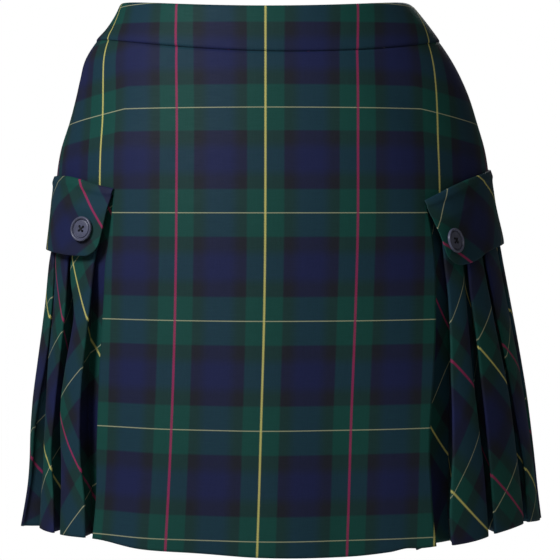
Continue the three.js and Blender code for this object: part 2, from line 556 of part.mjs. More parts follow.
function shortsMiddle(side, s, row) {
  const round = s * 2 * Math.PI;
  if (row <= SHORTS_HIP_ROWS) {
    const v = row / SHORTS_HIP_ROWS;
    const angle = s * HALF_TURN;
    const crotchRow = mix(CROTCH.z, CROTCH.sideZ, Math.sin(Math.PI * s) ** 2);
    const z = mix(seamZ(side * angle) - SHORTS_BELOW_SEAM, crotchRow, v);
    const turn = angle * RADIAN;
    const loose = [
      at(SHORTS, 'side', z) * Math.sin(turn),
      -at(SHORTS, Math.cos(turn) > 0 ? 'front' : 'back', z) * Math.cos(turn),
    ];
    const zipRoom = ZIP_ROOM * clamp01((angle - ZIP_ROOM_FROM) / ZIP_ROOM_FADE) * (z > TAPE.bottom ? 1 : 0);
    const caught = onSkirt(side * angle, z, SHORTS_CAUGHT - zipRoom);
    const free = clamp01(v / SHORTS_FREE_AT);
    const hip = [mix(side * caught[0], loose[0], free), mix(caught[1], loose[1], free)];
    const leg = [LEG.x - LEG.wide * Math.cos(round), CROTCH.y * Math.cos(round / 2) ** 2 - LEG.deep * Math.sin(round)];
    const turnIn = v ** SHORTS_TURN_IN;
    return [mix(hip[0], leg[0], turnIn), mix(hip[1], leg[1], turnIn), z];
  }
  const v = (row - SHORTS_HIP_ROWS) / SHORTS_LEG_ROWS;
  const crotchRow = mix(CROTCH.z, CROTCH.sideZ, Math.sin(Math.PI * s) ** 2);
  return [
    mix(LEG.x, LEG.hemX, v) - mix(LEG.wide, LEG.hemWide, v) * Math.cos(round),
    mix(CROTCH.y, 0, v) * Math.cos(round / 2) ** 2 - mix(LEG.deep, LEG.hemDeep, v) * Math.sin(round),
    mix(crotchRow, LEG.hemZ, v),
  ];
}

function shortsHalf(side) {
  const small = 0.002;
  const place = (i, row, offset) => {
    const s = i / SHORTS_COLUMNS;
    const closed = row >= SHORTS_HIP_ROWS;
    const here = shortsMiddle(side, s, row);
    const low = closed ? s - small : Math.max(0, s - small);
    const high = closed ? s + small : Math.min(1, s + small);
    const a = shortsMiddle(side, low, row);
    const b = shortsMiddle(side, high, row);
    const size = Math.hypot(b[0] - a[0], b[1] - a[1]);
    const x = here[0] + ((b[1] - a[1]) / size) * offset;
    const y = here[1] - ((b[0] - a[0]) / size) * offset;
    return [side * Math.max(x, SEAM_GAP / 2), y, here[2]];
  };
  return clothSolid(SHORTS_COLUMNS, SHORTS_HIP_ROWS + SHORTS_LEG_ROWS,
    (i, j) => place(i === SHORTS_COLUMNS && j >= SHORTS_HIP_ROWS ? 0 : i, j, SHORTS_WALL / 2),
    (i, j) => place(i === SHORTS_COLUMNS && j >= SHORTS_HIP_ROWS ? 0 : i, j, -SHORTS_WALL / 2),
    () => true, (j) => j >= SHORTS_HIP_ROWS);
}

// The zip's tape inside the centre back, and its slider and pull tab outside the waistband.
const TAPE_ROWS = 9;
const TAPE_COLUMNS = 2;

function tapeSolid() {
  const place = (i, j, out) => {
    const z = mix(TAPE.top, TAPE.bottom, j / TAPE_ROWS);
    const angle = HALF_TURN + degreesFor(mix(-TAPE.wide / 2, TAPE.wide / 2, i / TAPE_COLUMNS), HALF_TURN, z);
    const wall = mix(BAND_WALL, SKIRT_WALL, clamp01((TAPE.thinFrom - z) / TAPE.thinOver));
    return onSkirt(angle, z, out - wall - TAPE.off);
  };
  return clothSolid(TAPE_COLUMNS, TAPE_ROWS, (i, j) => place(i, j, 0), (i, j) => place(i, j, -TAPE_WALL));
}

// Frame at the slider: across, down along the cloth and out from it.
function zipFrame() {
  const low = new THREE.Vector3(...onSkirt(HALF_TURN, SLIDER.z - SLIDER.reach, 0));
  const high = new THREE.Vector3(...onSkirt(HALF_TURN, SLIDER.z + SLIDER.reach, 0));
  const down = low.sub(high).setX(0).normalize();
  const across = new THREE.Vector3(1, 0, 0);
  const out = new THREE.Vector3().crossVectors(across, down).normalize();
  const here = new THREE.Vector3(...onSkirt(HALF_TURN, SLIDER.z, 0));
  return new THREE.Matrix4().makeBasis(across, down, out).setPosition(here);
}

function sliderSolid() {
  const body = Manifold.cube([SLIDER.wide, SLIDER.long, SLIDER.top - SLIDER.base], true)
    .translate([0, 0, (SLIDER.top + SLIDER.base) / 2]);
  const cheekWide = LUG.outer - LUG.inner;
  const cheek = Manifold.cube([cheekWide, LUG.long, LUG.top - SLIDER.top + LUG.sunk], true)
    .translate([0, 0, (LUG.top + SLIDER.top - LUG.sunk) / 2]);
  const pin = Manifold.cylinder(2 * LUG.outer - PIN.short, PIN.radius, PIN.radius, PIN.sides, true)
    .rotate([0, 90, 0]).translate([0, 0, PIN.height]);
  return body
    .add(cheek.translate([(LUG.inner + LUG.outer) / 2, 0, 0]))
    .add(cheek.translate([-(LUG.inner + LUG.outer) / 2, 0, 0]))
    .add(pin);
}

function pullSolid() {
  const eye = Manifold.cylinder(PULL.eyeWide, PULL.eye, PULL.eye, PIN.sides, true).rotate([0, 90, 0]);
  const neckLong = PULL.neck + PULL.overlap;
  const neck = Manifold.cube([PULL.eyeWide, neckLong, PULL.thick], true).translate([0, neckLong / 2, 0]);
  const tab = Manifold.cube([PULL.wide, PULL.long - PULL.neck, PULL.thick], true)
    .translate([0, (PULL.long + PULL.neck) / 2, 0]);
  const hole = Manifold.cylinder(2 * PULL.eyeWide, PULL.hole, PULL.hole, PIN.sides, true).rotate([0, 90, 0]);
  const window = Manifold.cube([PULL.wide - 2 * WINDOW.border, WINDOW.long, PULL.thick * 2], true)
    .translate([0, PULL.long - WINDOW.fromEnd, 0]);
  return eye.add(neck).add(tab).subtract(hole).subtract(window)
    .rotate([-PULL.lean, 0, 0]).translate([0, 0, PIN.height]);
}

const NAVY = 0x22264a;
const GREEN = 0x1d4238;
const BUTTON_GREY = 0x4a4c5e;
const ZIP_GREY = 0x2a3040;

add('waistband_front', bandPiece(-SIDE_SEAM, SIDE_SEAM, BAND_COLUMNS.front), NAVY, CLOTH);
add('waistband_back_left', bandPiece(-HALF_TURN, -SIDE_SEAM, BAND_COLUMNS.back), NAVY, CLOTH);
add('waistband_back_right', bandPiece(SIDE_SEAM, HALF_TURN, BAND_COLUMNS.back), NAVY, CLOTH);
add('front', clothSolid(frontColumns, FRONT_UPPER_ROWS + FRONT_LOWER_ROWS,
  (i, j) => frontPlace(i, j, 0), (i, j) => frontPlace(i, j, -SKIRT_WALL), frontHere), GREEN, CLOTH);
for (const [word, side] of [['left', -1], ['right', 1]]) {
  add(`back_${word}`, clothSolid(BACK_COLUMNS, BACK_ROWS,
    (i, j) => backPlace(side, i, j, 0), (i, j) => backPlace(side, i, j, -SKIRT_WALL)), GREEN, CLOTH);
  add(`${word}_pleats`, pleatedInset(side), NAVY, CLOTH);
  add(`${word}_flap`, flapSolid(side), GREEN, CLOTH);
  add(`${word}_button`, buttonSolid(side, side < 0 ? LEFT_BUTTON : RIGHT_BUTTON), BUTTON_GREY, HORN);
  add(`shorts_${word}`, shortsHalf(side), NAVY, CLOTH);
}
add('zip_tape', tapeSolid(), NAVY, CLOTH);
add('zip_slider', fromManifold(sliderSolid().transform(zipFrame().elements)), ZIP_GREY, METAL);
add('zip_pull', fromManifold(pullSolid().transform(zipFrame().elements)), ZIP_GREY, METAL);

export default part;
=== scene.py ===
"""A tartan skort with pleated insets, buttoned flaps and plain inner shorts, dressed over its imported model.

Shapes are worked out in millimetres in the model's own frame, front towards -Y, and meshes are in metres.
Left and right are as seen from the front, and -1 and 1 stand for them.
"""
import math

import bpy
import numpy as np
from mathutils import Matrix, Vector


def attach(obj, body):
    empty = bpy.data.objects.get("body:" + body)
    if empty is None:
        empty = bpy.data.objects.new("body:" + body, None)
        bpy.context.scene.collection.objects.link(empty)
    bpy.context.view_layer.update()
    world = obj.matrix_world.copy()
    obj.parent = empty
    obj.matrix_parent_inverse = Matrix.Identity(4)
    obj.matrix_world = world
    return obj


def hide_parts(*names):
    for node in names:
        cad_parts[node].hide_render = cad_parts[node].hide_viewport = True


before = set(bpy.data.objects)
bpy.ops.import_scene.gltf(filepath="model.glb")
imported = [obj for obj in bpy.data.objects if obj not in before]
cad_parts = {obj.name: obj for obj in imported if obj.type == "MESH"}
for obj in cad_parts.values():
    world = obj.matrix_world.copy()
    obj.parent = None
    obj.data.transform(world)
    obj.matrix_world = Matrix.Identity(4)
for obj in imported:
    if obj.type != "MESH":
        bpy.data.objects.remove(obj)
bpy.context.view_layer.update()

MM = 0.001
ROOT = "skort"

# Cloth thicknesses and the gaps at seams.
SKIRT_WALL = 1.4
PLEAT_WALL = 1.3
BAND_WALL = 2.6
FLAP_WALL = 1.8
SHORTS_WALL = 1.3
TAPE_WALL = 1.0
SEAM_GAP = 0.3
SHORTS_GAP = 0.04
# How far a cut edge rounds out, and the step in from the band that the skirt loses again over this fall.
RIM = 0.12
WAIST_STEP = 1.2
WAIST_STEP_FADE = 26
# Degrees round from the middle of the front.
SIDE_SEAM = 106
QUARTER_TURN = 90
HALF_TURN = 180


def table(names, *rows):
    """Short table as named columns. The first name is the key, and its values run up."""
    values = np.array(sorted(rows), float)
    columns = {name: values[:, k] for k, name in enumerate(names.split())}
    columns["key"] = values[:, 0]
    return columns


def cubic(s, start, start_rise, end, end_rise):
    """Cubic by share from one value to the next, with each end's slope as its rise over the whole span."""
    return ((2 * s**3 - 3 * s**2 + 1) * start + (s**3 - 2 * s**2 + s) * start_rise
            + (3 * s**2 - 2 * s**3) * end + (s**3 - s**2) * end_rise)


def curve(tab, name, key):
    """Smooth curve through a column: a cubic between rows, with the slope between a row's two neighbours."""
    keys, values = tab["key"], tab[name]
    slopes = np.empty_like(values)
    slopes[1:-1] = (values[2:] - values[:-2]) / (keys[2:] - keys[:-2])
    slopes[0] = (values[1] - values[0]) / (keys[1] - keys[0])
    slopes[-1] = (values[-1] - values[-2]) / (keys[-1] - keys[-2])
    key = np.clip(np.asarray(key, float), keys[0], keys[-1])
    k = np.clip(np.searchsorted(keys, key, side="right") - 1, 0, len(keys) - 2)
    span = keys[k + 1] - keys[k]
    return cubic((key - keys[k]) / span, values[k], span * slopes[k], values[k + 1], span * slopes[k + 1])


def mix(a, b, s):
    return a + (b - a) * s


def clamp01(s):
    return np.clip(s, 0.0, 1.0)


def cosd(angle):
    return np.cos(np.radians(angle))


def sind(angle):
    return np.sin(np.radians(angle))


# Reach of the skirt's outer surface from the centre line, by height.
SHAPE = table(
    "z left right front back",
    (6, 124, 121, 91, 88), (-2, 125, 124, 92, 90), (-12, 129.3, 131.7, 94, 93), (-22, 136, 139.4, 96, 96),
    (-32, 145.2, 146.6, 98, 99.5), (-48, 154.3, 156.4, 101, 104.5), (-65, 158.6, 165.2, 105, 110),
    (-82, 162.4, 172.2, 109, 116), (-101, 167.4, 178, 113, 122), (-124, 174.6, 184.6, 118, 128),
    (-145, 178, 188, 121.5, 132), (-170, 179.2, 190.6, 125.5, 135.5), (-200, 181.6, 196.6, 129, 138),
    (-221, 184.8, 200.2, 131, 139), (-252, 187.4, 205.6, 134, 141), (-277, 190.3, 210, 136.5, 143),
    (-303, 193.6, 214.3, 139, 145), (-332, 196.6, 218.8, 141.8, 147.5), (-362, 198.2, 222.6, 144.6, 150),
    (-388, 199.4, 225.6, 146.6, 152), (-411, 202, 228, 148.2, 153.5), (-448, 209.4, 232.8, 150, 156),
)

# Height of the hem by angle from the middle of the front, which is positive to the right.
HEM = table(
    "angle z",
    (-180, -441), (-140, -441.5), (-112, -442), (-98, -443), (-90, -444), (-80, -439), (-66, -434.5),
    (-57, -436.5), (-43, -436.7), (-30, -440.8), (-15, -442.4), (0, -444.6), (20, -444.8), (30, -442.3),
    (34, -440), (38, -440.3), (45, -438.3), (53, -434.6), (60, -432.4), (66, -431.5), (76, -433.4),
    (90, -436), (98, -438), (112, -440), (140, -441.5), (180, -441),
)

# Seam that joins each pleated inset to the front, hidden under the flap.
INSET_SEAM = table(
    "angle z",
    (-106, -154), (-90, -154), (-70, -155), (-44, -163), (0, -168), (42, -171), (60, -156), (80, -149),
    (106, -148),
)

# Angles of the front panel's free edge, of the pleat folds and of where each face turns in, by height.
# The last column is how far the pleats stand open.
LEFT_PLEATS = table(
    "z edge fold1 rear1 fold2 rear2 fold3 rear3 fold4 open",
    (-150, 44.0, 48.5, 61.4, 63.0, 75.2, 77.0, 86.8, 89.2, 0),
    (-209, 45.4, 50.3, 62.2, 63.8, 75.2, 77.0, 86.2, 88.6, 0.1),
    (-232, 45.3, 50.7, 61.4, 63.4, 73.0, 74.8, 85.8, 88.2, 0.28),
    (-248, 45.2, 51.0, 59.4, 63.1, 72.4, 74.1, 85.5, 88.0, 0.46),
    (-264, 45.1, 51.2, 58.4, 62.9, 71.8, 73.6, 85.2, 87.8, 0.6),
    (-300, 44.6, 51.4, 59.7, 62.5, 70.6, 72.8, 84.8, 87.8, 0.8),
    (-335, 44.3, 51.1, 60.4, 62.7, 68.8, 76.4, 87.0, 90.4, 0.95),
    (-376, 44.4, 50.3, 59.1, 63.7, 68.2, 84.4, 91.8, 95.0, 1),
    (-408, 44.0, 47.9, 57.8, 60.8, 68.4, 88.4, 94.8, 97.8, 1),
    (-448, 43.3, 45.1, 54.7, 56.2, 64.4, 91.2, 97.4, 99.8, 0.9),
)
RIGHT_PLEATS = table(
    "z edge fold1 rear1 fold2 rear2 fold3 rear3 fold4 open",
    (-150, 41.5, 46.6, 53.8, 55.6, 63.2, 65.2, 77.6, 79.8, 0),
    (-180, 42.0, 46.2, 53.4, 55.2, 63.2, 65.2, 77.8, 80.0, 0.04),
    (-219, 41.6, 45.5, 52.8, 54.8, 63.4, 65.2, 78.0, 80.4, 0.16),
    (-243, 40.4, 45.2, 52.2, 53.9, 64.0, 65.6, 78.4, 81.0, 0.34),
    (-280, 38.2, 43.7, 51.2, 53.6, 64.8, 66.5, 79.0, 82.2, 0.58),
    (-307, 36.5, 42.5, 50.6, 53.0, 65.8, 67.5, 79.6, 83.2, 0.76),
    (-339, 34.5, 41.4, 50.5, 52.7, 66.4, 68.4, 80.2, 84.2, 0.92),
    (-370, 33.3, 40.3, 50.6, 52.4, 66.4, 69.8, 80.8, 85.0, 1),
    (-388, 33.1, 39.4, 50.6, 52.3, 66.7, 70.6, 81.2, 85.4, 1),
    (-420, 33.1, 38.1, 50.5, 52.0, 66.8, 69.4, 81.8, 85.6, 0.94),
    (-448, 33.6, 38.4, 50.0, 51.6, 64.9, 67.2, 82.4, 85.8, 0.84),
)
PLEATS = {-1: LEFT_PLEATS, 1: RIGHT_PLEATS}
# Cloth hidden behind each fold at the top, and behind each where the pleats stand open.
SHUT_TUCK = 9
OPEN_TUCK = {-1: (9, 9, 2, 9), 1: (9, 9, 9, 9)}
# Section through the folds: level of a face and of the layers behind it, and the round noses between them.
FACE_LEVEL = -0.65
LAYER_STEP = 1.9
FACE_RISE = 1.3
INNER_DROP = 15
NOSE_REACH = 2.2
NOSE_ROUND = 0.5
NOSE_SHOULDER = 0.3
# Stations before the first fold: way from the panel's edge, and height over the inner layer shut and open.
PLEAT_START = ((-14, 1.2, 13.5), (-5, 1, 9.5), (1, 0.8, 6))
TUCK = {"share": 0.4, "before": 1, "nose_before": 1.2}
# Crown of each face by its share across, its turn behind the next fold, and the last face's run to the seam.
FACE_CROWN = ((0.36, 0.9), (0.68, 0.6))
FACE_TURN = {"before": 3.5, "drop": 0.2, "open_drop": 0.6, "level": 0.3, "past": 1.5, "past_level": 0.62}
LAST_FACE = ((0.3, 1, 0.9), (0.6, 0.5, 0.7), (0.82, 0, 0.2))

# Outline and lift of the flaps.
LEFT_FLAP_EDGE = table("z angle", (-140, 43), (-156, 43.9), (-176, 45.7), (-191, 46.7), (-214, 48.3))
RIGHT_FLAP_EDGE = table("z angle", (-140, 39), (-164, 40.4), (-178, 40.8), (-196, 42.7), (-220, 44.4))
LEFT_FLAP = table(
    "angle top bottom lift",
    (43, -158.8, -211.8, 2.4), (50, -155.4, -211.8, 3.5), (58, -150.6, -211.2, 5.8),
    (66, -147.3, -209.4, 6.6), (78, -146.6, -208, 3.2), (90, -147.2, -207.4, 0.9), (106, -147.4, -207.2, 0.8),
)
RIGHT_FLAP = table(
    "angle top bottom lift",
    (40, -168, -218.8, 7.8), (47.4, -160.2, -218.4, 6.4), (53, -155, -215.6, 4.8), (62, -148.9, -208.2, 3.4),
    (77, -143.1, -203.8, 1.8), (90, -141.1, -202.4, 0.9), (106, -141, -202, 0.8),
)
FLAP = {-1: LEFT_FLAP, 1: RIGHT_FLAP}
FLAP_EDGE = {-1: LEFT_FLAP_EDGE, 1: RIGHT_FLAP_EDGE}
FLAP_MIDDLE_Z = -180
FLAP_CORNER = 11
FLAP_LENGTH = 152
FLAP_RIDGE = table(
    "depth out",
    (0, 0), (0.055, 0.7), (0.09, 0.9), (0.14, 0.2), (0.34, 0.3), (0.58, 0.7), (0.8, 1.1), (1, 1.4),
)
# The lift grows from its share at the top edge to all of it lower down, and is never less than the least.
FLAP_LIFT = {"top_share": 0.35, "full_at": 0.34, "least": 0.5}
# The flap thickens from its cut edges by this much, over a way from the side and a share from the bottom.
FLAP_PUFF = {"out": 0.5, "side": 3, "bottom": 0.06}
FLAP_RIM = 0.3
# Cells across the flap as start, end and count, closer at its round corner, and its cells down.
FLAP_CELLS = ((0, 3, 9), (3, FLAP_CORNER, 13), (FLAP_CORNER, FLAP_LENGTH, 71))
FLAP_ROWS = 48

# Inner shorts.
SHORTS = table(
    "z side front back",
    (-30, 137, 91, 92), (-50, 148, 95, 98), (-80, 156.6, 100.6, 106.5), (-124, 165, 106, 115),
    (-165, 168, 108, 119), (-220, 169.6, 105, 117), (-275, 171, 98, 106),
)
CROTCH = {"y": 8, "z": -270, "side_z": -250}
LEG = {"x": 86, "wide": 85.6, "deep": 92, "hem_x": 92, "hem_wide": 78, "hem_deep": 84, "hem_z": -398}
# The shorts start this far below the waist seam and inside the skirt, and hang free below a share of the hip.
SHORTS_TOP = 1
SHORTS_CAUGHT = -3.9
SHORTS_FREE = 5 / 12
# Their ripple, the cells of one half, and the width of cloth that goes round a leg.
SHORTS_RIPPLE = {"out": 0.8, "waves": 7, "twist": 0.02}
SHORTS_CELLS = {"round": 84, "hip": 60, "leg": 30}
SHORTS_ROUND = 520
# Room that the shorts leave the zip, by angle.
ZIP_ROOM = 3
ZIP_ROOM_FROM = 166
ZIP_ROOM_FADE = 6

# Buttons and zip tape.
BUTTONS = {
    -1: {"angle": -53.3, "z": -190.1, "turn": 5, "tip": 6},
    1: {"angle": 46.6, "z": -199.4, "turn": 3, "tip": 9},
}
BUTTON_SIT = {"stand": 1.35, "across": 3, "down": 8, "lean": 0.3, "ridge": 0.7}
TAPE = {"wide": 24, "top": -4, "bottom": -205}
# Below the band the tape steps out to the thinner backs, and a gap keeps it off both.
TAPE_STEP = {"z": -62, "fade": 40}
TAPE_GAP = 4 * SEAM_GAP
ZIP_COIL = {"out": 0.9, "wide": 1.7}

# The cloth's pattern: distance between the lines along the cloth, and where it lies on each piece.
WARP_PITCH = 73.0
WEFT_PITCH = 85.5
GRAIN_CENTRE = table("z x", (0, -0.7), (-178, -0.6), (-261, -1.5), (-346, -3.8), (-400, -5.3), (-448, -6.9))
GRAIN_WIDTH = table(
    "z left right",
    (0, 1.035, 1.07), (-45, 1.01, 1.035), (-110, 0.99, 1.02), (-178, 0.985, 1.015), (-261, 0.982, 0.99),
    (-346, 0.98, 0.972), (-448, 1.0, 0.965),
)
FIRST_WEFT_LINE = -92.6
# Lower edge of the band's green bar: height in front, rise to the sides, slant and distance from its line.
BAND_GREEN = {"z": -23.4, "rise": 3.8, "slant": 0.3, "from_line": 19}
# The weft sags towards the side seams, from this angle on and over this much more of the turn.
GRAIN_SAG = 11
SAG_FROM = 45
SAG_OVER = 40
# Place in the sett that lies on the centre back.
BACK_LINE = 109.5
# Bias cut: turn of the warp from straight down towards the right, and give of the cloth down its length.
INSET_GRAIN = {-1: 37.7, 1: 49}
FLAP_GRAIN = {-1: 33.5, 1: 62}
BIAS_GIVE = {-1: 1.014, 1: 1.06}
# How far along the cut cloth lie the hidden start and the four folds of each inset, from a height z.
# Each face also has its gain of cloth over its width, its drop and the slant that its weft takes.
INSET_CLOTH = {
    -1: {"z": -218.8, "start": -76, "folds": (-34, 62, 160, 245), "gain": (1.4, 1.7, 0.9, 1),
         "drop": (0, 7, 13, 13), "slant": (0, 0, 0, 0)},
    1: {"z": -340.6, "start": -25, "folds": (62, 163, 268, 350), "gain": (1, 1, 1, 1),
        "drop": (0, 0, 6, 6), "slant": (0.36, -0.12, 0, 0)},
}
# Spots on each flap that a red warp line and a weft line pass through, as angle and height.
FLAP_LINES = {
    -1: {"warp_at": (58.1, -148.6), "weft_at": (67.8, -147)},
    1: {"warp_at": (47.9, -209), "weft_at": (45.5, -173.5)},
}
# Number of a red line among the warp lines, of which every other one is red.
RED_LINE = 1


def reach_at(z):
    """Half the skirt's width at each height, and how far its middle lies to the right."""
    left, right = curve(SHAPE, "left", z), curve(SHAPE, "right", z)
    return (left + right) / 2, (right - left) / 2


def deep_at(tab, angle, z):
    """Distance from the centre line to the front or to the back, whichever half the angle is in."""
    return np.where(cosd(angle) > 0, curve(tab, "front", z), curve(tab, "back", z))


def on_skirt(angle, z, out):
    """Point on an ellipse in plan at each height, moved out by a distance square to that ellipse."""
    reach, centre = reach_at(z)
    deep = deep_at(SHAPE, angle, z)
    nx, ny = sind(angle) / reach, -cosd(angle) / deep
    size = np.hypot(nx, ny)
    x = centre + reach * sind(angle) + out * nx / size
    y = -deep * cosd(angle) + out * ny / size
    return np.stack(np.broadcast_arrays(x, y, z), axis=-1)


def degrees_for(distance, angle, z):
    """Degrees that a distance along the skirt's surface takes up."""
    reach, _ = reach_at(z)
    return np.degrees(distance / np.hypot(reach * cosd(angle), deep_at(SHAPE, angle, z) * sind(angle)))


# Places and weights by which a length is summed along a quarter of the skirt.
GAUSS_AT, GAUSS_WEIGHT = np.polynomial.legendre.leggauss(14)


def girth(angle, z):
    """Length along the surface from the middle of the front round to an angle, summed a quarter at a time."""
    reach, _ = reach_at(z)
    total = 0
    front_part = np.clip(angle, -QUARTER_TURN, QUARTER_TURN)
    for start, end, name in ((0 * front_part, front_part, "front"), (front_part, angle, "back")):
        deep = curve(SHAPE, name, z)
        half = np.radians(end - start) / 2
        middle = np.radians(end + start) / 2
        for at, weight in zip(GAUSS_AT, GAUSS_WEIGHT):
            turn = middle + half * at
            total = total + weight * half * np.hypot(reach * np.cos(turn), deep * np.sin(turn))
    return total


# Heights a millimetre apart from below the hem to above the top edge, and the cloth's length up to each.
FALL_STEPS = np.linspace(-460, 20, 481)
FALL_SLOPE = np.gradient(curve(SHAPE, "front", FALL_STEPS), FALL_STEPS)
FALL_LENGTH = np.cumsum(np.hypot(1, FALL_SLOPE))


def fall(z):
    """Length down the cloth at the middle of the front, from the first weft line."""
    return np.interp(FIRST_WEFT_LINE, FALL_STEPS, FALL_LENGTH) - np.interp(z, FALL_STEPS, FALL_LENGTH)


# Height of the band's top edge at the sides, its dip in front, its rise behind and a small drop at the right.
TOP_EDGE = {"side": -0.8, "dip": 9.2, "rise": 2.6, "drop": 3.4, "drop_wide": 13}


def top_z(angle):
    """Height of the top edge: a squared cosine in front and behind, less a bell at the right side."""
    ahead = cosd(angle) ** 2
    drop = TOP_EDGE["drop"] * np.exp(-(((angle - QUARTER_TURN) / TOP_EDGE["drop_wide"]) ** 2))
    curved = np.where(np.abs(angle) < QUARTER_TURN, -TOP_EDGE["dip"] * ahead, TOP_EDGE["rise"] * ahead)
    return TOP_EDGE["side"] - drop + curved


# Height of the waist seam at the sides, with its dip and its tilt in front and behind.
WAIST_SEAM = {"side": -32.6, "dip": (14.6, 2.8), "tilt": (1.6, 0)}


def seam_z(angle):
    """Height of the waist seam: it dips in front and is a little higher there on the left."""
    in_front = np.abs(angle) < QUARTER_TURN
    dip, tilt = (np.where(in_front, *WAIST_SEAM[name]) for name in ("dip", "tilt"))
    return WAIST_SEAM["side"] - dip * cosd(angle) ** 2 - tilt * sind(2 * angle)


def waist_step(angle, z):
    """The skirt sits a little inside the waistband at the seam and comes out below it."""
    return -WAIST_STEP * clamp01(1 - (seam_z(angle) - z) / WAIST_STEP_FADE) ** 2


def straight_grain(angle, z):
    """Cloth coordinates on the straight grain: across is the girth from the centre line, down is the fall.

    The weft sags towards the side seams, as a flared panel's does, and comes back to level behind.
    """
    reach, centre = reach_at(z)
    middle = np.degrees(np.arcsin((curve(GRAIN_CENTRE, "x", z) - centre) / reach))
    across = girth(angle, z) - girth(middle, z)
    give = np.where(across < 0, curve(GRAIN_WIDTH, "left", z), curve(GRAIN_WIDTH, "right", z))
    round_side = np.where(
        np.abs(angle) < SIDE_SEAM,
        np.sin(np.pi / 2 * clamp01((np.abs(angle) - SAG_FROM) / SAG_OVER)),
        np.cos(np.pi / 2 * clamp01((np.abs(angle) - SIDE_SEAM) / (HALF_TURN - SIDE_SEAM))))
    return across / give, fall(z + GRAIN_SAG * round_side)


def back_grain(side, angle, z):
    """Cloth coordinates of a back: across is the way from the centre back, which runs down the grain."""
    from_middle = girth(HALF_TURN + 0 * z, z) - girth(np.abs(angle) + 0 * z, z)
    return side * (BACK_LINE - from_middle), straight_grain(angle, z)[1]


# Soft troughs and ridges in the hanging cloth: where each is, how far it reaches and how deep it is.
CREASES = table(
    "angle z along across out lean",
    (-66, -90, 36, 8, 0.7, 0.1), (-52, -95, 40, 8, -0.7, 0.12), (-38, -385, 95, 7, -1.7, 0.03),
    (-29, -420, 80, 6, 1.2, 0.02), (-20, -120, 45, 9, -0.5, 0.06), (-6, -400, 130, 9, 2.2, 0),
    (11, -390, 140, 9, -2.4, 0), (26, -405, 85, 7, 1.1, 0.02), (28, -395, 70, 5, -1, 0.01),
    (31, -120, 50, 9, 0.9, -0.14), (44, -105, 42, 7, -0.9, -0.2), (68, -92, 40, 9, 0.8, -0.12),
    (116, -330, 110, 8, -1.5, 0.02), (128, -110, 45, 10, 0.8, 0.1), (131, -395, 95, 8, 1.7, 0),
    (149, -350, 110, 9, -1.4, -0.02), (160, -90, 40, 9, -0.6, 0.05), (165, -400, 90, 7, 1.2, 0),
    (-163, -405, 85, 7, 1.3, 0), (-158, -95, 40, 9, -0.6, -0.05), (-146, -360, 100, 9, -1.6, 0.01),
    (-129, -390, 90, 8, 1.6, 0), (-126, -105, 45, 10, 0.7, -0.1), (-114, -345, 110, 8, -1.4, 0.02),
)


def creases(angle, z):
    """Sum of soft humps, each a bell across its own leaning line and a longer bell along it."""
    total = np.zeros(np.broadcast(angle, z).shape)
    for k in range(len(CREASES["key"])):
        along = (z - CREASES["z"][k]) / CREASES["along"][k]
        centre = CREASES["angle"][k] + CREASES["lean"][k] * (z - CREASES["z"][k])
        across = (angle - centre) / CREASES["across"][k]
        total = total + CREASES["out"][k] * np.exp(-(across**2) - along**2)
    return total


def edge_pairs(grid_shape, here, joined):
    """Edges of present cells with no present neighbour: two grid indices and the cell's far corner."""
    rows, columns = here.shape
    index = np.arange(grid_shape[0] * grid_shape[1]).reshape(grid_shape)
    c0, c1, c2, c3 = index[:-1, :-1], index[1:, :-1], index[1:, 1:], index[:-1, 1:]
    padded = np.zeros((rows + 2, columns + 2), bool)
    padded[1:-1, 1:-1] = here
    padded[1:-1, 0] = joined
    padded[1:-1, -1] = joined
    sides = ((c0, c1, c3, padded[1:-1, :-2]), (c1, c2, c0, padded[2:, 1:-1]),
             (c2, c3, c1, padded[1:-1, 2:]), (c3, c0, c2, padded[:-2, 1:-1]))
    found = [np.stack([a[here & ~beside], b[here & ~beside], far[here & ~beside]], axis=1)
             for a, b, far, beside in sides]
    return np.concatenate(found)


def make_object(name, points, quads, uvs, material):
    """Mesh object in metres from points in millimetres, four-cornered faces and each corner's cloth place."""
    used, quads = np.unique(quads, return_inverse=True)
    quads = quads.reshape(-1, 4)
    points = points[used]
    a, b, c, d = (points[quads[:, k]] for k in range(4))
    volume = np.sum(np.cross(b - a, c - a) * a) + np.sum(np.cross(c - a, d - a) * a)
    if volume < 0:
        quads = quads[:, ::-1]
        uvs = None if uvs is None else uvs[:, ::-1]
    mesh = bpy.data.meshes.new(name)
    mesh.vertices.add(len(points))
    mesh.vertices.foreach_set("co", (points * MM).ravel())
    mesh.loops.add(quads.size)
    mesh.loops.foreach_set("vertex_index", quads.ravel().astype(np.int32))
    mesh.polygons.add(len(quads))
    mesh.polygons.foreach_set("loop_start", np.arange(0, quads.size, 4, dtype=np.int32))
    mesh.polygons.foreach_set("use_smooth", np.ones(len(quads), bool))
    if uvs is not None:
        layer = mesh.uv_layers.new(name="cloth")
        layer.data.foreach_set("uv", (uvs.reshape(-1, 2) * MM).ravel())
    mesh.update(calc_edges=True)
    mesh.validate()
    mesh.materials.append(material)
    piece = bpy.data.objects.new(name, mesh)
    bpy.context.scene.collection.objects.link(piece)
    return piece


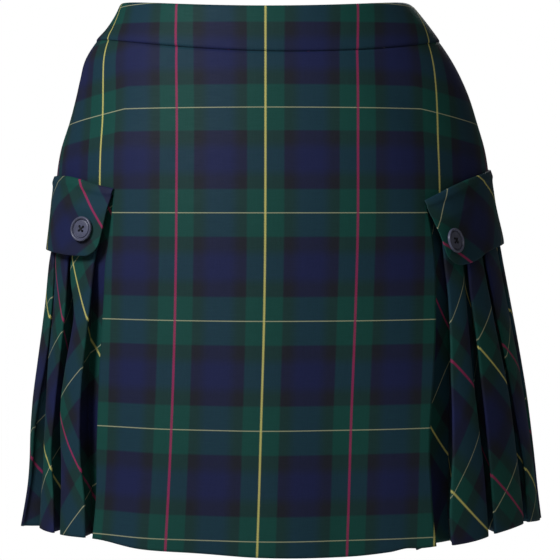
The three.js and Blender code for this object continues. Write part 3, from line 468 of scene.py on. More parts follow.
def cloth(name, outer, inner, place, material, here=None, joined=None, rim=RIM):
    """Closed cloth wall from a grid of outer and inner points, with a rounded rim along each cut edge.

    place is the two cloth coordinates at each grid point, here marks the cells that exist, and joined marks
    the rows of cells whose last column meets their first.
    """
    rows, columns = outer.shape[0] - 1, outer.shape[1] - 1
    here = np.ones((rows, columns), bool) if here is None else here
    joined = np.zeros(rows, bool) if joined is None else joined
    count = (rows + 1) * (columns + 1)
    index = np.arange(count).reshape(rows + 1, columns + 1)
    weld = index.copy()
    meets = np.concatenate([joined[:1], joined[1:] | joined[:-1], joined[-1:]])
    weld[meets, -1] = weld[meets, 0]
    weld = weld.ravel()
    pairs = edge_pairs(index.shape, here, joined)
    middle = (outer.reshape(-1, 3) + inner.reshape(-1, 3)) / 2
    push = np.zeros_like(middle)
    for k in (0, 1):
        np.add.at(push, pairs[:, k], middle[pairs[:, k]] - middle[pairs[:, 2]])
    push /= np.maximum(np.linalg.norm(push, axis=1, keepdims=True), 1e-9)
    points = np.concatenate([outer.reshape(-1, 3), inner.reshape(-1, 3), middle + push * rim])
    face = np.stack([index[:-1, :-1], index[1:, :-1], index[1:, 1:], index[:-1, 1:]], axis=-1)[here]
    a, b = pairs[:, 0], pairs[:, 1]
    grid = np.concatenate([face, face[:, ::-1], np.stack([b, a, a, b], 1), np.stack([b, a, a, b], 1)])
    layer = np.concatenate([
        np.zeros_like(face), np.ones_like(face),
        np.tile([0, 0, 2, 2], (len(pairs), 1)), np.tile([2, 2, 1, 1], (len(pairs), 1))])
    quads = weld[grid] + layer * count
    uvs = np.stack([place[0].ravel()[grid], place[1].ravel()[grid]], axis=-1)
    return make_object(name, points, quads, uvs, material)


def grid_of(columns, rows):
    """Shares across and down of a grid, as two arrays."""
    return np.meshgrid(np.linspace(0, 1, columns + 1), np.linspace(0, 1, rows + 1))


# Waistband: the roll of its top and the tuck at its seam, each over a share of its depth, and its crown.
BAND_COLUMNS = 220
BAND_BACK_COLUMNS = 84
BAND_ROWS = 26
BAND_ROLL = {"in": 0.9, "share": 0.07}
BAND_CROWN = {"out": 0.35, "power": 0.7, "ripple": 0.25, "ripple_turn": 0.13}
BAND_TUCK = {"in": 0.7, "share": 0.06}


def band_piece(name, start, end, columns, material):
    """Strip between the top edge and the waist seam, crowned a little, with its top rolled over."""
    share, depth = grid_of(columns, BAND_ROWS)
    rough = mix(start, end, share)
    z = mix(top_z(rough), seam_z(rough) + SEAM_GAP / 2, depth)
    first = start + degrees_for(SEAM_GAP / 2, start, z)
    last = end - degrees_for(SEAM_GAP / 2, end, z)
    angle = mix(first, last, share)
    rolled = BAND_ROLL["in"] * clamp01(1 - depth / BAND_ROLL["share"]) ** 2
    arch = np.sin(np.pi * depth)
    ripple = BAND_CROWN["ripple"] * np.sin(angle * BAND_CROWN["ripple_turn"]) * arch
    crown = BAND_CROWN["out"] * arch ** BAND_CROWN["power"] + ripple
    tucked = BAND_TUCK["in"] * clamp01(1 - (1 - depth) / BAND_TUCK["share"]) ** 2
    outer = on_skirt(angle, z, crown - rolled - tucked)
    inner = on_skirt(angle, z, -BAND_WALL + rolled)
    behind = end - start < SIDE_SEAM
    across, _ = back_grain(np.sign(start + end), angle, z) if behind else straight_grain(angle, z)
    return cloth(name, outer, inner, (across, band_grain(angle, z)), material)


def band_grain(angle, z):
    """Length down the band's cloth from a weft line, placed by the lower edge of that line's green bar."""
    to_side = sind(angle) ** 2
    edge = BAND_GREEN["z"] + BAND_GREEN["rise"] * to_side
    return BAND_GREEN["from_line"] + (edge - z) * (1 + BAND_GREEN["slant"] * to_side)


# Front: its cells, the height at which each edge of the panel starts, and the lift of those edges.
FRONT_CELLS = {"side": 58, "panel": 132, "upper": 46, "lower": 110}
PANEL_TOP_Z = {-1: -163, 1: -171}
PANEL_LIFT = {"out": 2.2, "reach": 9, "fade": 140}
# Waves round the hem: the height that they start under, the fall over which they grow and how many go round.
FRONT_WAVE = {"from": -190, "fade": 250, "out": 1.4, "waves": 11, "start": 0.7}
BACK_WAVE = {"from": -200, "fade": 240, "out": 2.4, "waves": 9}


def front_piece(name, material):
    """Upper part between the side seams, then a panel whose free edges lift a little off the pleats."""
    side_columns, panel_columns, upper_rows, lower_rows = FRONT_CELLS.values()
    last = 2 * side_columns + panel_columns
    i, j = np.meshgrid(np.arange(last + 1.0), np.arange(upper_rows + lower_rows + 1.0))
    left_top, right_top = (side * curve(PLEATS[side], "edge", PANEL_TOP_Z[side]) for side in (-1, 1))
    panel_share = (i - side_columns) / panel_columns
    on_left, on_right = i < side_columns, i > last - side_columns

    def across(start_left, edge_left, edge_right, end_right):
        middle = mix(edge_left, edge_right, panel_share)
        middle = np.where(on_left, mix(start_left, edge_left, i / side_columns), middle)
        return np.where(on_right, mix(end_right, edge_right, (last - i) / side_columns), middle)

    rough = across(-SIDE_SEAM, left_top, right_top, SIDE_SEAM)
    cut = curve(INSET_SEAM, "z", rough)
    upper = mix(seam_z(rough) - SEAM_GAP / 2, cut, j / upper_rows)
    lower = mix(cut, curve(HEM, "z", rough), (j - upper_rows) / lower_rows)
    z = np.where(j <= upper_rows, upper, lower)
    left_edge = -curve(LEFT_PLEATS, "edge", z)
    right_edge = curve(RIGHT_PLEATS, "edge", z)
    seam = SIDE_SEAM - degrees_for(SEAM_GAP / 2, SIDE_SEAM, z)
    angle = across(-seam, left_edge, right_edge, seam)
    below = clamp01((cut - z) / PANEL_LIFT["fade"])
    reach = PANEL_LIFT["reach"]
    near_edge = np.exp(-(angle - left_edge) / reach) + np.exp(-(right_edge - angle) / reach)
    lift = np.where(on_left | on_right, 0, PANEL_LIFT["out"] * below * near_edge)
    hang = clamp01((FRONT_WAVE["from"] - z) / FRONT_WAVE["fade"])
    round_hem = np.sin(FRONT_WAVE["waves"] * np.radians(angle) + FRONT_WAVE["start"])
    wave = FRONT_WAVE["out"] * hang**2 * round_hem
    out = lift + wave + waist_step(angle, z) + creases(angle, z)
    here = (j < upper_rows) | ((i >= side_columns) & (i < last - side_columns))
    place = straight_grain(angle, z)
    return cloth(name, on_skirt(angle, z, out), on_skirt(angle, z, out - SKIRT_WALL), place, material,
                 here=here[:-1, :-1])


# Backs.
BACK_COLUMNS = 96
BACK_ROWS = 132


def back_piece(name, side, material):
    """Panel from its side seam to the centre back, with soft waves that grow towards the hem."""
    share, depth = grid_of(BACK_COLUMNS, BACK_ROWS)
    rough = mix(SIDE_SEAM, HALF_TURN, share)
    z = mix(seam_z(side * rough) - SEAM_GAP / 2, curve(HEM, "z", side * rough), depth)
    start = SIDE_SEAM + degrees_for(SEAM_GAP / 2, SIDE_SEAM, z)
    end = HALF_TURN - degrees_for(SEAM_GAP / 2, HALF_TURN, z)
    angle = mix(start, end, share)
    turned = side * angle
    hang = clamp01((BACK_WAVE["from"] - z) / BACK_WAVE["fade"])
    free = np.sin(np.pi * share)
    wave = BACK_WAVE["out"] * hang * free * np.sin(BACK_WAVE["waves"] * np.radians(angle))
    out = wave + waist_step(turned, z) + np.sqrt(free) * creases(turned, z)
    return cloth(name, on_skirt(turned, z, out), on_skirt(turned, z, out - SKIRT_WALL),
                 back_grain(side, turned, z), material)


# Pleated insets: stations of the folded section, rows down and the heights they run between before they are
# fitted to the seam and the hem. A step has this length, with the fewest and the most between two stations.
STATIONS = 66
INSET_ROWS = 104
INSET_RUN = (-156, -440)
STEP_LENGTH = 2.4
STEPS = (2, 9)
FOLDS = 4


def pleat_section(side, z):
    """Stations along the folded section: angle and level of each. A column of z is one station's heights.

    The section runs from under the front panel in behind each fold, out to the fold and back along the face.
    Returns the angles, the levels, and the station numbers of the fold tips and of the faces' rear turns.
    """
    pleats = PLEATS[side]
    z = np.broadcast_to(z, (z.shape[0], STATIONS))
    opened = curve(pleats, "open", z)
    face = FACE_LEVEL + FACE_RISE * opened
    inner = FACE_LEVEL - 2 * LAYER_STEP - INNER_DROP * opened
    edge = curve(pleats, "edge", z)
    angles, levels, tips, turns = [], [], [], []

    def put(angle, along, level):
        k = len(angles)
        along = np.broadcast_to(along, z.shape)[:, k]
        here = angle[:, k]
        angles.append(here + degrees_for(along, here, z[:, k]))
        levels.append(np.broadcast_to(level, z.shape)[:, k])

    for along, shut, open_rise in PLEAT_START:
        put(edge, along, inner + shut + open_rise * opened)
    for k in range(FOLDS):
        fold = curve(pleats, f"fold{k + 1}", z)
        tuck = mix(SHUT_TUCK, OPEN_TUCK[side][k], opened)
        put(fold, tuck * TUCK["share"] - TUCK["before"], inner)
        put(fold, tuck - TUCK["nose_before"], inner)
        put(fold, tuck + NOSE_ROUND, inner + NOSE_SHOULDER)
        put(fold, tuck + 2 * NOSE_ROUND, inner + LAYER_STEP / 2)
        put(fold, tuck + NOSE_ROUND, inner + LAYER_STEP - NOSE_SHOULDER)
        put(fold, mix(tuck, NOSE_REACH, 0.5), mix(inner + LAYER_STEP, face - LAYER_STEP, 0.5))
        put(fold, np.minimum(NOSE_REACH, tuck), face - LAYER_STEP)
        put(fold, NOSE_ROUND, face - LAYER_STEP + NOSE_SHOULDER)
        tips.append(len(angles))
        put(fold, 0, face - LAYER_STEP / 2)
        put(fold, NOSE_ROUND, face - NOSE_SHOULDER)
        put(fold, NOSE_REACH, face)
        if k < FOLDS - 1:
            rear = curve(pleats, f"rear{k + 1}", z)
            for share, crown in FACE_CROWN:
                put(mix(fold, rear, share), 0, face + crown * opened)
            put(rear, -FACE_TURN["before"], face - FACE_TURN["drop"] - FACE_TURN["open_drop"] * opened)
            turns.append(len(angles))
            put(rear, 0, mix(face, inner, FACE_TURN["level"]))
            put(rear, FACE_TURN["past"] + opened, mix(face, inner, FACE_TURN["past_level"]))
        else:
            end = SIDE_SEAM - degrees_for(SEAM_GAP / 2, SIDE_SEAM, z)
            for share, face_share, crown in LAST_FACE:
                put(mix(fold, end, share), 0, mix(FACE_LEVEL, face, face_share) + crown * opened)
            turns.append(len(angles))
            put(end, 0, FACE_LEVEL)
    return np.stack(angles, 1), np.stack(levels, 1), tips, turns


def smooth_line(points, steps):
    """Curve through each row's points in finer steps: a cubic a span, timed by the root of its length."""
    span = np.sqrt(np.maximum(np.linalg.norm(np.diff(points, axis=1), axis=2), 1e-4))
    slope = np.empty_like(points)
    secant = np.diff(points, axis=1) / span[..., None]
    before, after = span[:, :-1, None], span[:, 1:, None]
    slope[:, 1:-1] = (secant[:, :-1] * after + secant[:, 1:] * before) / (before + after)
    slope[:, 0], slope[:, -1] = secant[:, 0], secant[:, -1]
    found, marks = [], [0]
    for k, count in enumerate(steps):
        s = (np.arange(count) / count)[None, :, None]
        h = span[:, k, None, None]
        found.append(cubic(s, points[:, k, None], h * slope[:, k, None],
                           points[:, k + 1, None], h * slope[:, k + 1, None]))
        marks.append(marks[-1] + count)
    found.append(points[:, -1:])
    return np.concatenate(found, axis=1), np.array(marks)


def inset_piece(name, side, material):
    """Knife pleats: the folded section carried down from the inset's seam to the hem, opening as it goes."""
    share = np.linspace(0, 1, INSET_ROWS + 1)[:, None]
    nominal = np.broadcast_to(mix(*INSET_RUN, share), (INSET_ROWS + 1, STATIONS))
    rough, _, tips, turns = pleat_section(side, nominal)
    z = mix(curve(INSET_SEAM, "z", side * rough) - SEAM_GAP, curve(HEM, "z", side * rough), share)
    angle, level, _, _ = pleat_section(side, z)
    middle = on_skirt(side * angle, z, level)
    lengths = np.linalg.norm(np.diff(middle, axis=1), axis=2).mean(axis=0)
    steps = np.clip(np.ceil(lengths / STEP_LENGTH), *STEPS).astype(int)
    line, marks = smooth_line(middle, steps)
    along = np.gradient(line[..., :2], axis=1)
    along /= np.linalg.norm(along, axis=2, keepdims=True)
    square = np.stack([along[..., 1], -along[..., 0], np.zeros(line.shape[:2])], axis=-1) * PLEAT_WALL / 2
    walked = np.linalg.norm(np.diff(line, axis=1), axis=2)
    walked = np.concatenate([np.zeros((INSET_ROWS + 1, 1)), np.cumsum(walked, axis=1)], axis=1)
    across, drop, slant = inset_cloth(side, walked, marks, tips, turns)
    down = (INSET_CLOTH[side]["z"] - drop - line[..., 2]) / BIAS_GIVE[side]
    warp, weft = bias_grain(side * across, down, INSET_GRAIN[side])
    return cloth(name, line + square, line - square, (warp, weft + slant), material)


def inset_cloth(side, walked, marks, tips, turns):
    """Distance along the cut cloth, with each point's drop and its weft's slant.

    The distance grows by each face's gain from its fold, and is evened out over what is hidden. The drop
    runs evenly from one face's to the next, and the slant is a share of the distance from the fold.
    """
    facts = INSET_CLOTH[side]
    tip_at, turn_at = marks[tips], marks[turns]
    across, drop, slant = (np.empty_like(walked) for _ in range(3))
    zero = 0 * walked[:, 0]
    spots = [(0, facts["start"] + zero, zero, zero)]
    for k in range(FOLDS):
        wide = facts["gain"][k] * (walked[:, turn_at[k]] - walked[:, tip_at[k]])
        low = facts["folds"][k] + zero
        spots.append((tip_at[k], low, facts["drop"][k] + zero, zero))
        spots.append((turn_at[k], low + wide, facts["drop"][k] + zero, facts["slant"][k] * wide))
    for first, last in zip(spots[:-1], spots[1:]):
        part = walked[:, first[0]:last[0] + 1]
        share = (part - part[:, :1]) / (part[:, -1:] - part[:, :1])
        for target, low, high in zip((across, drop, slant), first[1:], last[1:]):
            target[:, first[0]:last[0] + 1] = low[:, None] + (high - low)[:, None] * share
    return across, drop, slant


def bias_grain(across, down, turn):
    """Cloth coordinates of a bias-cut piece, its warp turned from straight down towards the right."""
    return across * cosd(turn) - down * sind(turn), across * sind(turn) + down * cosd(turn)


# Flaps.
def flap_piece(name, side, material):
    """Flap from its free front edge to the side seam, with a rounded corner and a ridge below its top."""
    flap, edge = FLAP[side], FLAP_EDGE[side]
    runs = [np.linspace(start, end, cells + 1)[:-1] for start, end, cells in FLAP_CELLS]
    across = np.append(np.concatenate(runs), FLAP_LENGTH)
    walk, depth = np.meshgrid(across, np.linspace(0, 1, FLAP_ROWS + 1))
    share = walk / FLAP_LENGTH
    rough = mix(curve(edge, "angle", FLAP_MIDDLE_Z), SIDE_SEAM, share)
    into = np.minimum(walk, FLAP_CORNER)
    corner = FLAP_CORNER - np.sqrt(FLAP_CORNER**2 - (FLAP_CORNER - into) ** 2)
    z = mix(curve(flap, "top", rough), curve(flap, "bottom", rough) + corner, depth)
    end = SIDE_SEAM - degrees_for(SEAM_GAP / 2, SIDE_SEAM, z)
    angle = mix(curve(edge, "angle", z), end, share)
    grown = mix(FLAP_LIFT["top_share"], 1, clamp01(depth / FLAP_LIFT["full_at"]))
    lift = curve(flap, "lift", angle) * grown + curve(FLAP_RIDGE, "out", depth)
    lift = np.maximum(lift, FLAP_LIFT["least"])
    inside = (1 - np.exp(-walk / FLAP_PUFF["side"])) * (1 - np.exp(-(1 - depth) / FLAP_PUFF["bottom"]))
    outer = on_skirt(side * angle, z, lift + FLAP_WALL - FLAP_PUFF["out"] * (1 - inside))
    inner = on_skirt(side * angle, z, lift)
    return cloth(name, outer, inner, flap_grain(side, angle, z), material, rim=FLAP_RIM)


def flap_grain(side, angle, z):
    """Bias cloth coordinates, placed so that a red line and a weft line pass through the flap's two spots."""
    lines, turn = FLAP_LINES[side], FLAP_GRAIN[side]
    u, v = bias_grain(side * girth(angle, z), -z, turn)
    for_warp = bias_grain(side * girth(*lines["warp_at"]), -lines["warp_at"][1], turn)[0]
    for_weft = bias_grain(side * girth(*lines["weft_at"]), -lines["weft_at"][1], turn)[1]
    return u - for_warp + RED_LINE * WARP_PITCH, v - for_weft


# Inner shorts.
def shorts_piece(name, side, material):
    """Half of the shorts: an open hip part caught in the waist seam, then a leg that closes on itself."""
    columns, hip_rows, leg_rows = SHORTS_CELLS.values()
    s, j = np.meshgrid(np.linspace(0, 1, columns + 1), np.arange(hip_rows + leg_rows + 1.0))

    def middle(s):
        spin = s * 2 * np.pi
        crotch_z = mix(CROTCH["z"], CROTCH["side_z"], np.sin(np.pi * s) ** 2)
        v = clamp01(j / hip_rows)
        angle = s * HALF_TURN
        z = mix(seam_z(side * angle) - SHORTS_TOP, crotch_z, v)
        loose_x = curve(SHORTS, "side", z) * sind(angle)
        loose_y = -deep_at(SHORTS, angle, z) * cosd(angle)
        room = ZIP_ROOM * clamp01((angle - ZIP_ROOM_FROM) / ZIP_ROOM_FADE) * (z > TAPE["bottom"])
        caught = on_skirt(side * angle, z, SHORTS_CAUGHT - room)
        free = clamp01(v / SHORTS_FREE)
        hip_x = mix(side * caught[..., 0], loose_x, free)
        hip_y = mix(caught[..., 1], loose_y, free)
        leg_x = LEG["x"] - LEG["wide"] * np.cos(spin)
        leg_y = CROTCH["y"] * np.cos(spin / 2) ** 2 - LEG["deep"] * np.sin(spin)
        hip = np.stack([mix(hip_x, leg_x, v**4), mix(hip_y, leg_y, v**4), z], axis=-1)
        w = clamp01((j - hip_rows) / leg_rows)
        x = mix(LEG["x"], LEG["hem_x"], w) - mix(LEG["wide"], LEG["hem_wide"], w) * np.cos(spin)
        inseam_y = mix(CROTCH["y"], 0, w) * np.cos(spin / 2) ** 2
        y = inseam_y - mix(LEG["deep"], LEG["hem_deep"], w) * np.sin(spin)
        leg = np.stack([x, y, mix(crotch_z, LEG["hem_z"], w)], axis=-1)
        return np.where((j <= hip_rows)[..., None], hip, leg)

    here = middle(s)
    closed = j >= hip_rows
    small = 0.002
    ahead = middle(np.where(closed, s + small, np.minimum(1, s + small)))
    behind = middle(np.where(closed, s - small, np.maximum(0, s - small)))
    along = ahead - behind
    size = np.hypot(along[..., 0], along[..., 1])
    round_leg = np.sin(SHORTS_RIPPLE["waves"] * np.pi * s + SHORTS_RIPPLE["twist"] * here[..., 2])
    ripple = SHORTS_RIPPLE["out"] * round_leg * np.sin(np.pi * clamp01(j / (hip_rows + leg_rows)))

    def wall(offset):
        x = here[..., 0] + along[..., 1] / size * (offset + ripple)
        y = here[..., 1] - along[..., 0] / size * (offset + ripple)
        return np.stack([side * np.maximum(x, SHORTS_GAP / 2), y, here[..., 2]], axis=-1)

    joined = np.arange(hip_rows + leg_rows) >= hip_rows
    place = (s * SHORTS_ROUND, -here[..., 2])
    return cloth(name, wall(SHORTS_WALL / 2), wall(-SHORTS_WALL / 2), place, material, joined=joined)


# Zip tape.
TAPE_COLUMNS = 24
TAPE_ROWS = 130


def tape_piece(name, material):
    """Tape that follows the centre back inside the band and the backs, with a raised coil down its middle."""
    share, depth = grid_of(TAPE_COLUMNS, TAPE_ROWS)
    z = mix(TAPE["top"], TAPE["bottom"], depth)
    from_middle = mix(-TAPE["wide"] / 2, TAPE["wide"] / 2, share)
    angle = HALF_TURN + degrees_for(from_middle, HALF_TURN, z)
    wall = mix(BAND_WALL, SKIRT_WALL, clamp01((TAPE_STEP["z"] - z) / TAPE_STEP["fade"]))
    out = -wall - TAPE_GAP
    coil = ZIP_COIL["out"] * np.exp(-((from_middle / ZIP_COIL["wide"]) ** 2))
    inner = on_skirt(angle, z, out - TAPE_WALL - coil)
    return cloth(name, on_skirt(angle, z, out), inner, (from_middle, -z), material)


# Buttons: half of the section as radius and height, the holes with their flared rims, and the thread.
BUTTON_PROFILE = ((0, 0), (8.4, 0), (9.4, 0.4), (10, 1.1), (10.15, 1.7), (10.1, 2.3), (9.8, 2.85), (9.3, 3.1),
                  (8.75, 3.0), (8.35, 2.6), (8.1, 1.8), (7.85, 1.25), (7.5, 1.2), (7.25, 1.6), (7.05, 2.05),
                  (6.6, 2.2), (4.4, 2.15), (0, 2.05))
BUTTON_SIDES = 96
HOLE_SIDES = 24
BUTTON_HOLE = {"radius": 0.95, "offset": 1.75, "flare": 0.35, "flare_from": 1.85, "flare_to": 2.4}
HOLE_CUTS = (-1, 4)
HOLE_CORNERS = ((1, 1), (1, -1), (-1, 1), (-1, -1))
SHARP_OVER = 40
THREAD = {"radius": 0.3, "sides": 10, "points": 25, "apart": 0.28, "skew": 0.7, "reach": 1.05,
          "height": 2.3, "over": 0.3, "arch": 0.25}
# Where the thread turns down into the holes, as a share of its reach, a height and a slope.
THREAD_END = {"from": 0.86, "height": 2.4, "slope": 12}
# Radius that closes an end of a turned or drawn shape, and a direction that no thread takes.
POINT = 0.001
OFF_AXIS = (0.31, 0.17, 0.93)


def button_frame(side):
    """Axes of a button on its flap, as sideways, upright and out, and its place."""
    spot = BUTTONS[side]
    flap = FLAP[side]
    reach = abs(spot["angle"])
    lift = curve(flap, "lift", reach) + BUTTON_SIT["ridge"] + FLAP_WALL
    here = on_skirt(spot["angle"], spot["z"], lift + BUTTON_SIT["stand"])
    ahead, behind = reach + BUTTON_SIT["across"], reach - BUTTON_SIT["across"]
    across = (on_skirt(side * ahead, spot["z"], curve(flap, "lift", ahead))
              - on_skirt(side * behind, spot["z"], curve(flap, "lift", behind))) * side
    down = (on_skirt(spot["angle"], spot["z"] - BUTTON_SIT["down"], lift + BUTTON_SIT["lean"])
            - on_skirt(spot["angle"], spot["z"] + BUTTON_SIT["down"], lift - BUTTON_SIT["lean"]))
    upright = -down / np.linalg.norm(down)
    out = np.cross(across, upright)
    out /= np.linalg.norm(out)
    sideways = np.cross(upright, out)
    tip = spot["tip"]
    sideways, out = cosd(tip) * sideways - sind(tip) * out, sind(tip) * sideways + cosd(tip) * out
    turn = -spot["turn"]
    turned = cosd(turn) * sideways + sind(turn) * upright
    upright = cosd(turn) * upright - sind(turn) * sideways
    return np.stack([turned, upright, out]), here


def ring_skin(name, points, material):
    """Skin over rows of rings, each point joined to the next one round and the next one along."""
    count, sides = points.shape[:2]
    index = np.arange(count * sides).reshape(count, sides)
    beside = np.roll(index, -1, axis=1)
    quads = np.stack([index[:-1], beside[:-1], beside[1:], index[1:]], axis=-1).reshape(-1, 4)
    return make_object(name, points.reshape(-1, 3), quads, None, material)


def lathe(name, profile, sides, material):
    """Profile of radius and height turned about an upright axis, its ends closed by tiny rings on it."""
    profile = np.array(profile, float)
    turn = np.linspace(0, 2 * np.pi, sides + 1)[:-1]
    radius = np.maximum(profile[:, 0], POINT)
    points = np.stack([radius[:, None] * np.cos(turn), radius[:, None] * np.sin(turn),
                       np.broadcast_to(profile[:, 1:], (len(profile), sides))], axis=-1)
    return ring_skin(name, points, material)


def tube(name, path, radius, sides, material):
    """Round tube carried along a path of points, its ends drawn to a point."""
    path = np.array(path, float)
    ahead = np.gradient(path, axis=0)
    ahead /= np.linalg.norm(ahead, axis=1, keepdims=True)
    side_way = np.cross(ahead, OFF_AXIS)
    side_way /= np.linalg.norm(side_way, axis=1, keepdims=True)
    up_way = np.cross(ahead, side_way)
    turn = np.linspace(0, 2 * np.pi, sides + 1)[:-1]
    size = np.full(len(path), radius)
    size[[0, -1]] = POINT
    ring = np.cos(turn)[None, :, None] * side_way[:, None] + np.sin(turn)[None, :, None] * up_way[:, None]
    return ring_skin(name, path[:, None] + ring * size[:, None, None], material)


def apply_modifiers(piece):
    """The piece's mesh as its modifiers leave it, with the modifiers gone."""
    bpy.context.view_layer.update()
    shaped = bpy.data.meshes.new_from_object(piece.evaluated_get(bpy.context.evaluated_depsgraph_get()))
    piece.modifiers.clear()
    piece.data = shaped


def move_mesh(piece, axes, here):
    """Turns a piece's points by three axes, its own as rows, and moves them to a place in millimetres."""
    count = len(piece.data.vertices)
    points = np.empty(count * 3)
    piece.data.vertices.foreach_get("co", points)
    points = points.reshape(-1, 3) @ axes + here * MM
    piece.data.vertices.foreach_set("co", points.ravel())
    piece.data.update()


def button_piece(word, side, material, thread_material):
    """Four-hole button, with its holes cut through, and the thread that crosses between them."""
    button = lathe(f"{word}_button_horn", BUTTON_PROFILE, BUTTON_SIDES, material)
    radius, offset, flare, flare_from, flare_to = BUTTON_HOLE.values()
    bottom, top = HOLE_CUTS
    profile = ((0, bottom), (radius, bottom), (radius, flare_from), (radius + flare, flare_to),
               (radius + flare, top), (0, top))
    holes = []
    for k, (sx, sy) in enumerate(HOLE_CORNERS):
        hole = lathe("hole", profile, HOLE_SIDES, material)
        move_mesh(hole, np.eye(3), np.array([sx * offset, sy * offset, 0.0]))
        cut = button.modifiers.new(f"hole_{k}", "BOOLEAN")
        cut.operation = "DIFFERENCE"
        cut.solver = "EXACT"
        cut.object = hole
        holes.append(hole)
    apply_modifiers(button)
    for hole in holes:
        bpy.data.objects.remove(hole)
    button.data.polygons.foreach_set("use_smooth", np.ones(len(button.data.polygons), bool))
    button.data.set_sharp_from_angle(angle=math.radians(SHARP_OVER))
    axes, here = button_frame(side)
    move_mesh(button, axes, here)
    apart = THREAD["apart"]
    strands = [strand(k, shift, thread_material) for k in (0, 1) for shift in (-apart, apart)]
    thread = join_pieces(f"{word}_button_thread", strands)
    move_mesh(thread, axes, here)
    return button, thread


def strand(k, shift, material):
    """One thread from hole to hole: a low arch over the button that turns down at both ends."""
    sx, sy = HOLE_CORNERS[k]
    s = np.linspace(-1, 1, THREAD["points"])
    arch = THREAD["height"] + THREAD["over"] * k + THREAD["arch"] * (1 - s**2)
    end = THREAD_END["height"] - THREAD_END["slope"] * (np.abs(s) - THREAD_END["from"])
    height = np.where(np.abs(s) < THREAD_END["from"], arch, end)
    along = BUTTON_HOLE["offset"] * THREAD["reach"] * s
    aside = shift * THREAD["skew"]
    path = np.stack([sx * along + sy * aside, sy * along - sx * aside, height], axis=1)
    return tube(f"strand_{k}_{shift}", path, THREAD["radius"], THREAD["sides"], material)


def join_pieces(name, pieces):
    """One object from several meshes that share a material."""
    points, quads, offset = [], [], 0
    for piece in pieces:
        mesh = piece.data
        part = np.empty(len(mesh.vertices) * 3)
        mesh.vertices.foreach_get("co", part)
        corners = np.empty(len(mesh.loops), np.int32)
        mesh.loops.foreach_get("vertex_index", corners)
        points.append(part.reshape(-1, 3) / MM)
        quads.append(corners.reshape(-1, 4) + offset)
        offset += len(mesh.vertices)
    material = pieces[0].data.materials[0]
    for piece in pieces:
        bpy.data.objects.remove(piece)
    return make_object(name, np.concatenate(points), np.concatenate(quads), None, material)


# Materials.
def new_group(name, inputs, outputs):
    """Empty shader node group with named sockets, each given as (name, kind, starting value)."""
    group = bpy.data.node_groups.new(name, "ShaderNodeTree")
    for label, kind, value in inputs:
        socket = group.interface.new_socket(label, in_out="INPUT", socket_type=f"NodeSocket{kind}")
        if value is not None:
            socket.default_value = value
    for label, kind in outputs:
        group.interface.new_socket(label, in_out="OUTPUT", socket_type=f"NodeSocket{kind}")
    return group


class Nodes:
    """Short hand for building a node tree: node returns the node made, and the rest return an output."""

    def __init__(self, tree):
        self.tree = tree

    def node(self, kind, inputs=(), **settings):
        made = self.tree.nodes.new(kind if kind.startswith("Node") else f"ShaderNode{kind}")
        for key, value in settings.items():
            setattr(made, key, value)
        for key, value in dict(inputs).items():
            self.feed(made.inputs[key], value)
        return made

    def feed(self, socket, value):
        """Links an output to a socket, or sets the socket's own value."""
        if isinstance(value, bpy.types.NodeSocket):
            self.tree.links.new(value, socket)
        else:
            socket.default_value = value

    def math(self, operation, a, b):
        return self.node("Math", {0: a, 1: b}, operation=operation).outputs[0]

    def blend(self, share, a, b):
        """Colour between two colours, whose sockets are the Mix node's seventh and eighth."""
        return self.node("Mix", {0: share, 6: a, 7: b}, data_type="RGBA").outputs[2]

    def step(self, value, low, high):
        """Smooth rise from 0 at low to 1 at high."""
        ends = {0: value, 1: low, 2: high, 3: 0.0, 4: 1.0}
        return self.node("MapRange", ends, interpolation_type="SMOOTHSTEP").outputs[0]

    def noise(self, vector, scale, detail=2.0, rough=0.5):
        made = self.node("TexNoise", {"Vector": vector, "Scale": scale, "Detail": detail, "Roughness": rough})
        return made.outputs["Fac"]

    def raise_surface(self, surface, height, strength, distance):
        """Bump on the surface from a height."""
        bump = self.node("Bump", {"Height": height, "Strength": strength, "Distance": distance})
        self.feed(surface.inputs["Normal"], bump.outputs[0])


def shade(code):
    """Linear colour from a hexadecimal screen colour."""
    parts = [int(code[k:k + 2], 16) / 255 for k in (0, 2, 4)]
    return tuple(p / 12.92 if p <= 0.04045 else ((p + 0.055) / 1.055) ** 2.4 for p in parts) + (1.0,)


GREEN_YARN = (0.0130, 0.091, 0.069, 1.0)
BLUE_YARN = (0.0215, 0.0275, 0.095, 1.0)
DARK_YARN = (0.0230, 0.0250, 0.033, 1.0)
RED_YARN = (0.46, 0.028, 0.125, 1.0)
YELLOW_YARN = (0.92, 0.82, 0.22, 1.0)
PALE_YARN = (0.70, 0.68, 0.38, 1.0)
# Distance between the twill's ridges, and the slubs' grain as scale across and along a yarn with their dark.
TWILL_PITCH = 1.25
SLUB = {"across": 1400, "along": 60, "dark": 0.3}
# Half width of each line's green bar, and where the dark beside it starts to turn and is all blue.
WARP_BAR = {"green": 14.7, "blue_from": 19, "blue_full": 30}
WEFT_BAR = {"green": 19, "blue_from": 26.5, "blue_full": 37}
BAR_EDGE = 0.9
# Thin lines: half width in the twill's hollows, what a ridge and a red line add, soft edge and cover.
WARP_LINE = {"half": 0.3, "ridge": 0.85, "red_ridge": 0.15, "red_half": 0.28, "soft": 0.2,
             "cover": 0.45, "ridge_cover": 0.5}
WEFT_LINE = {"half": 0.1, "ridge": 0.45, "soft": 0.15, "cover": 0.62}


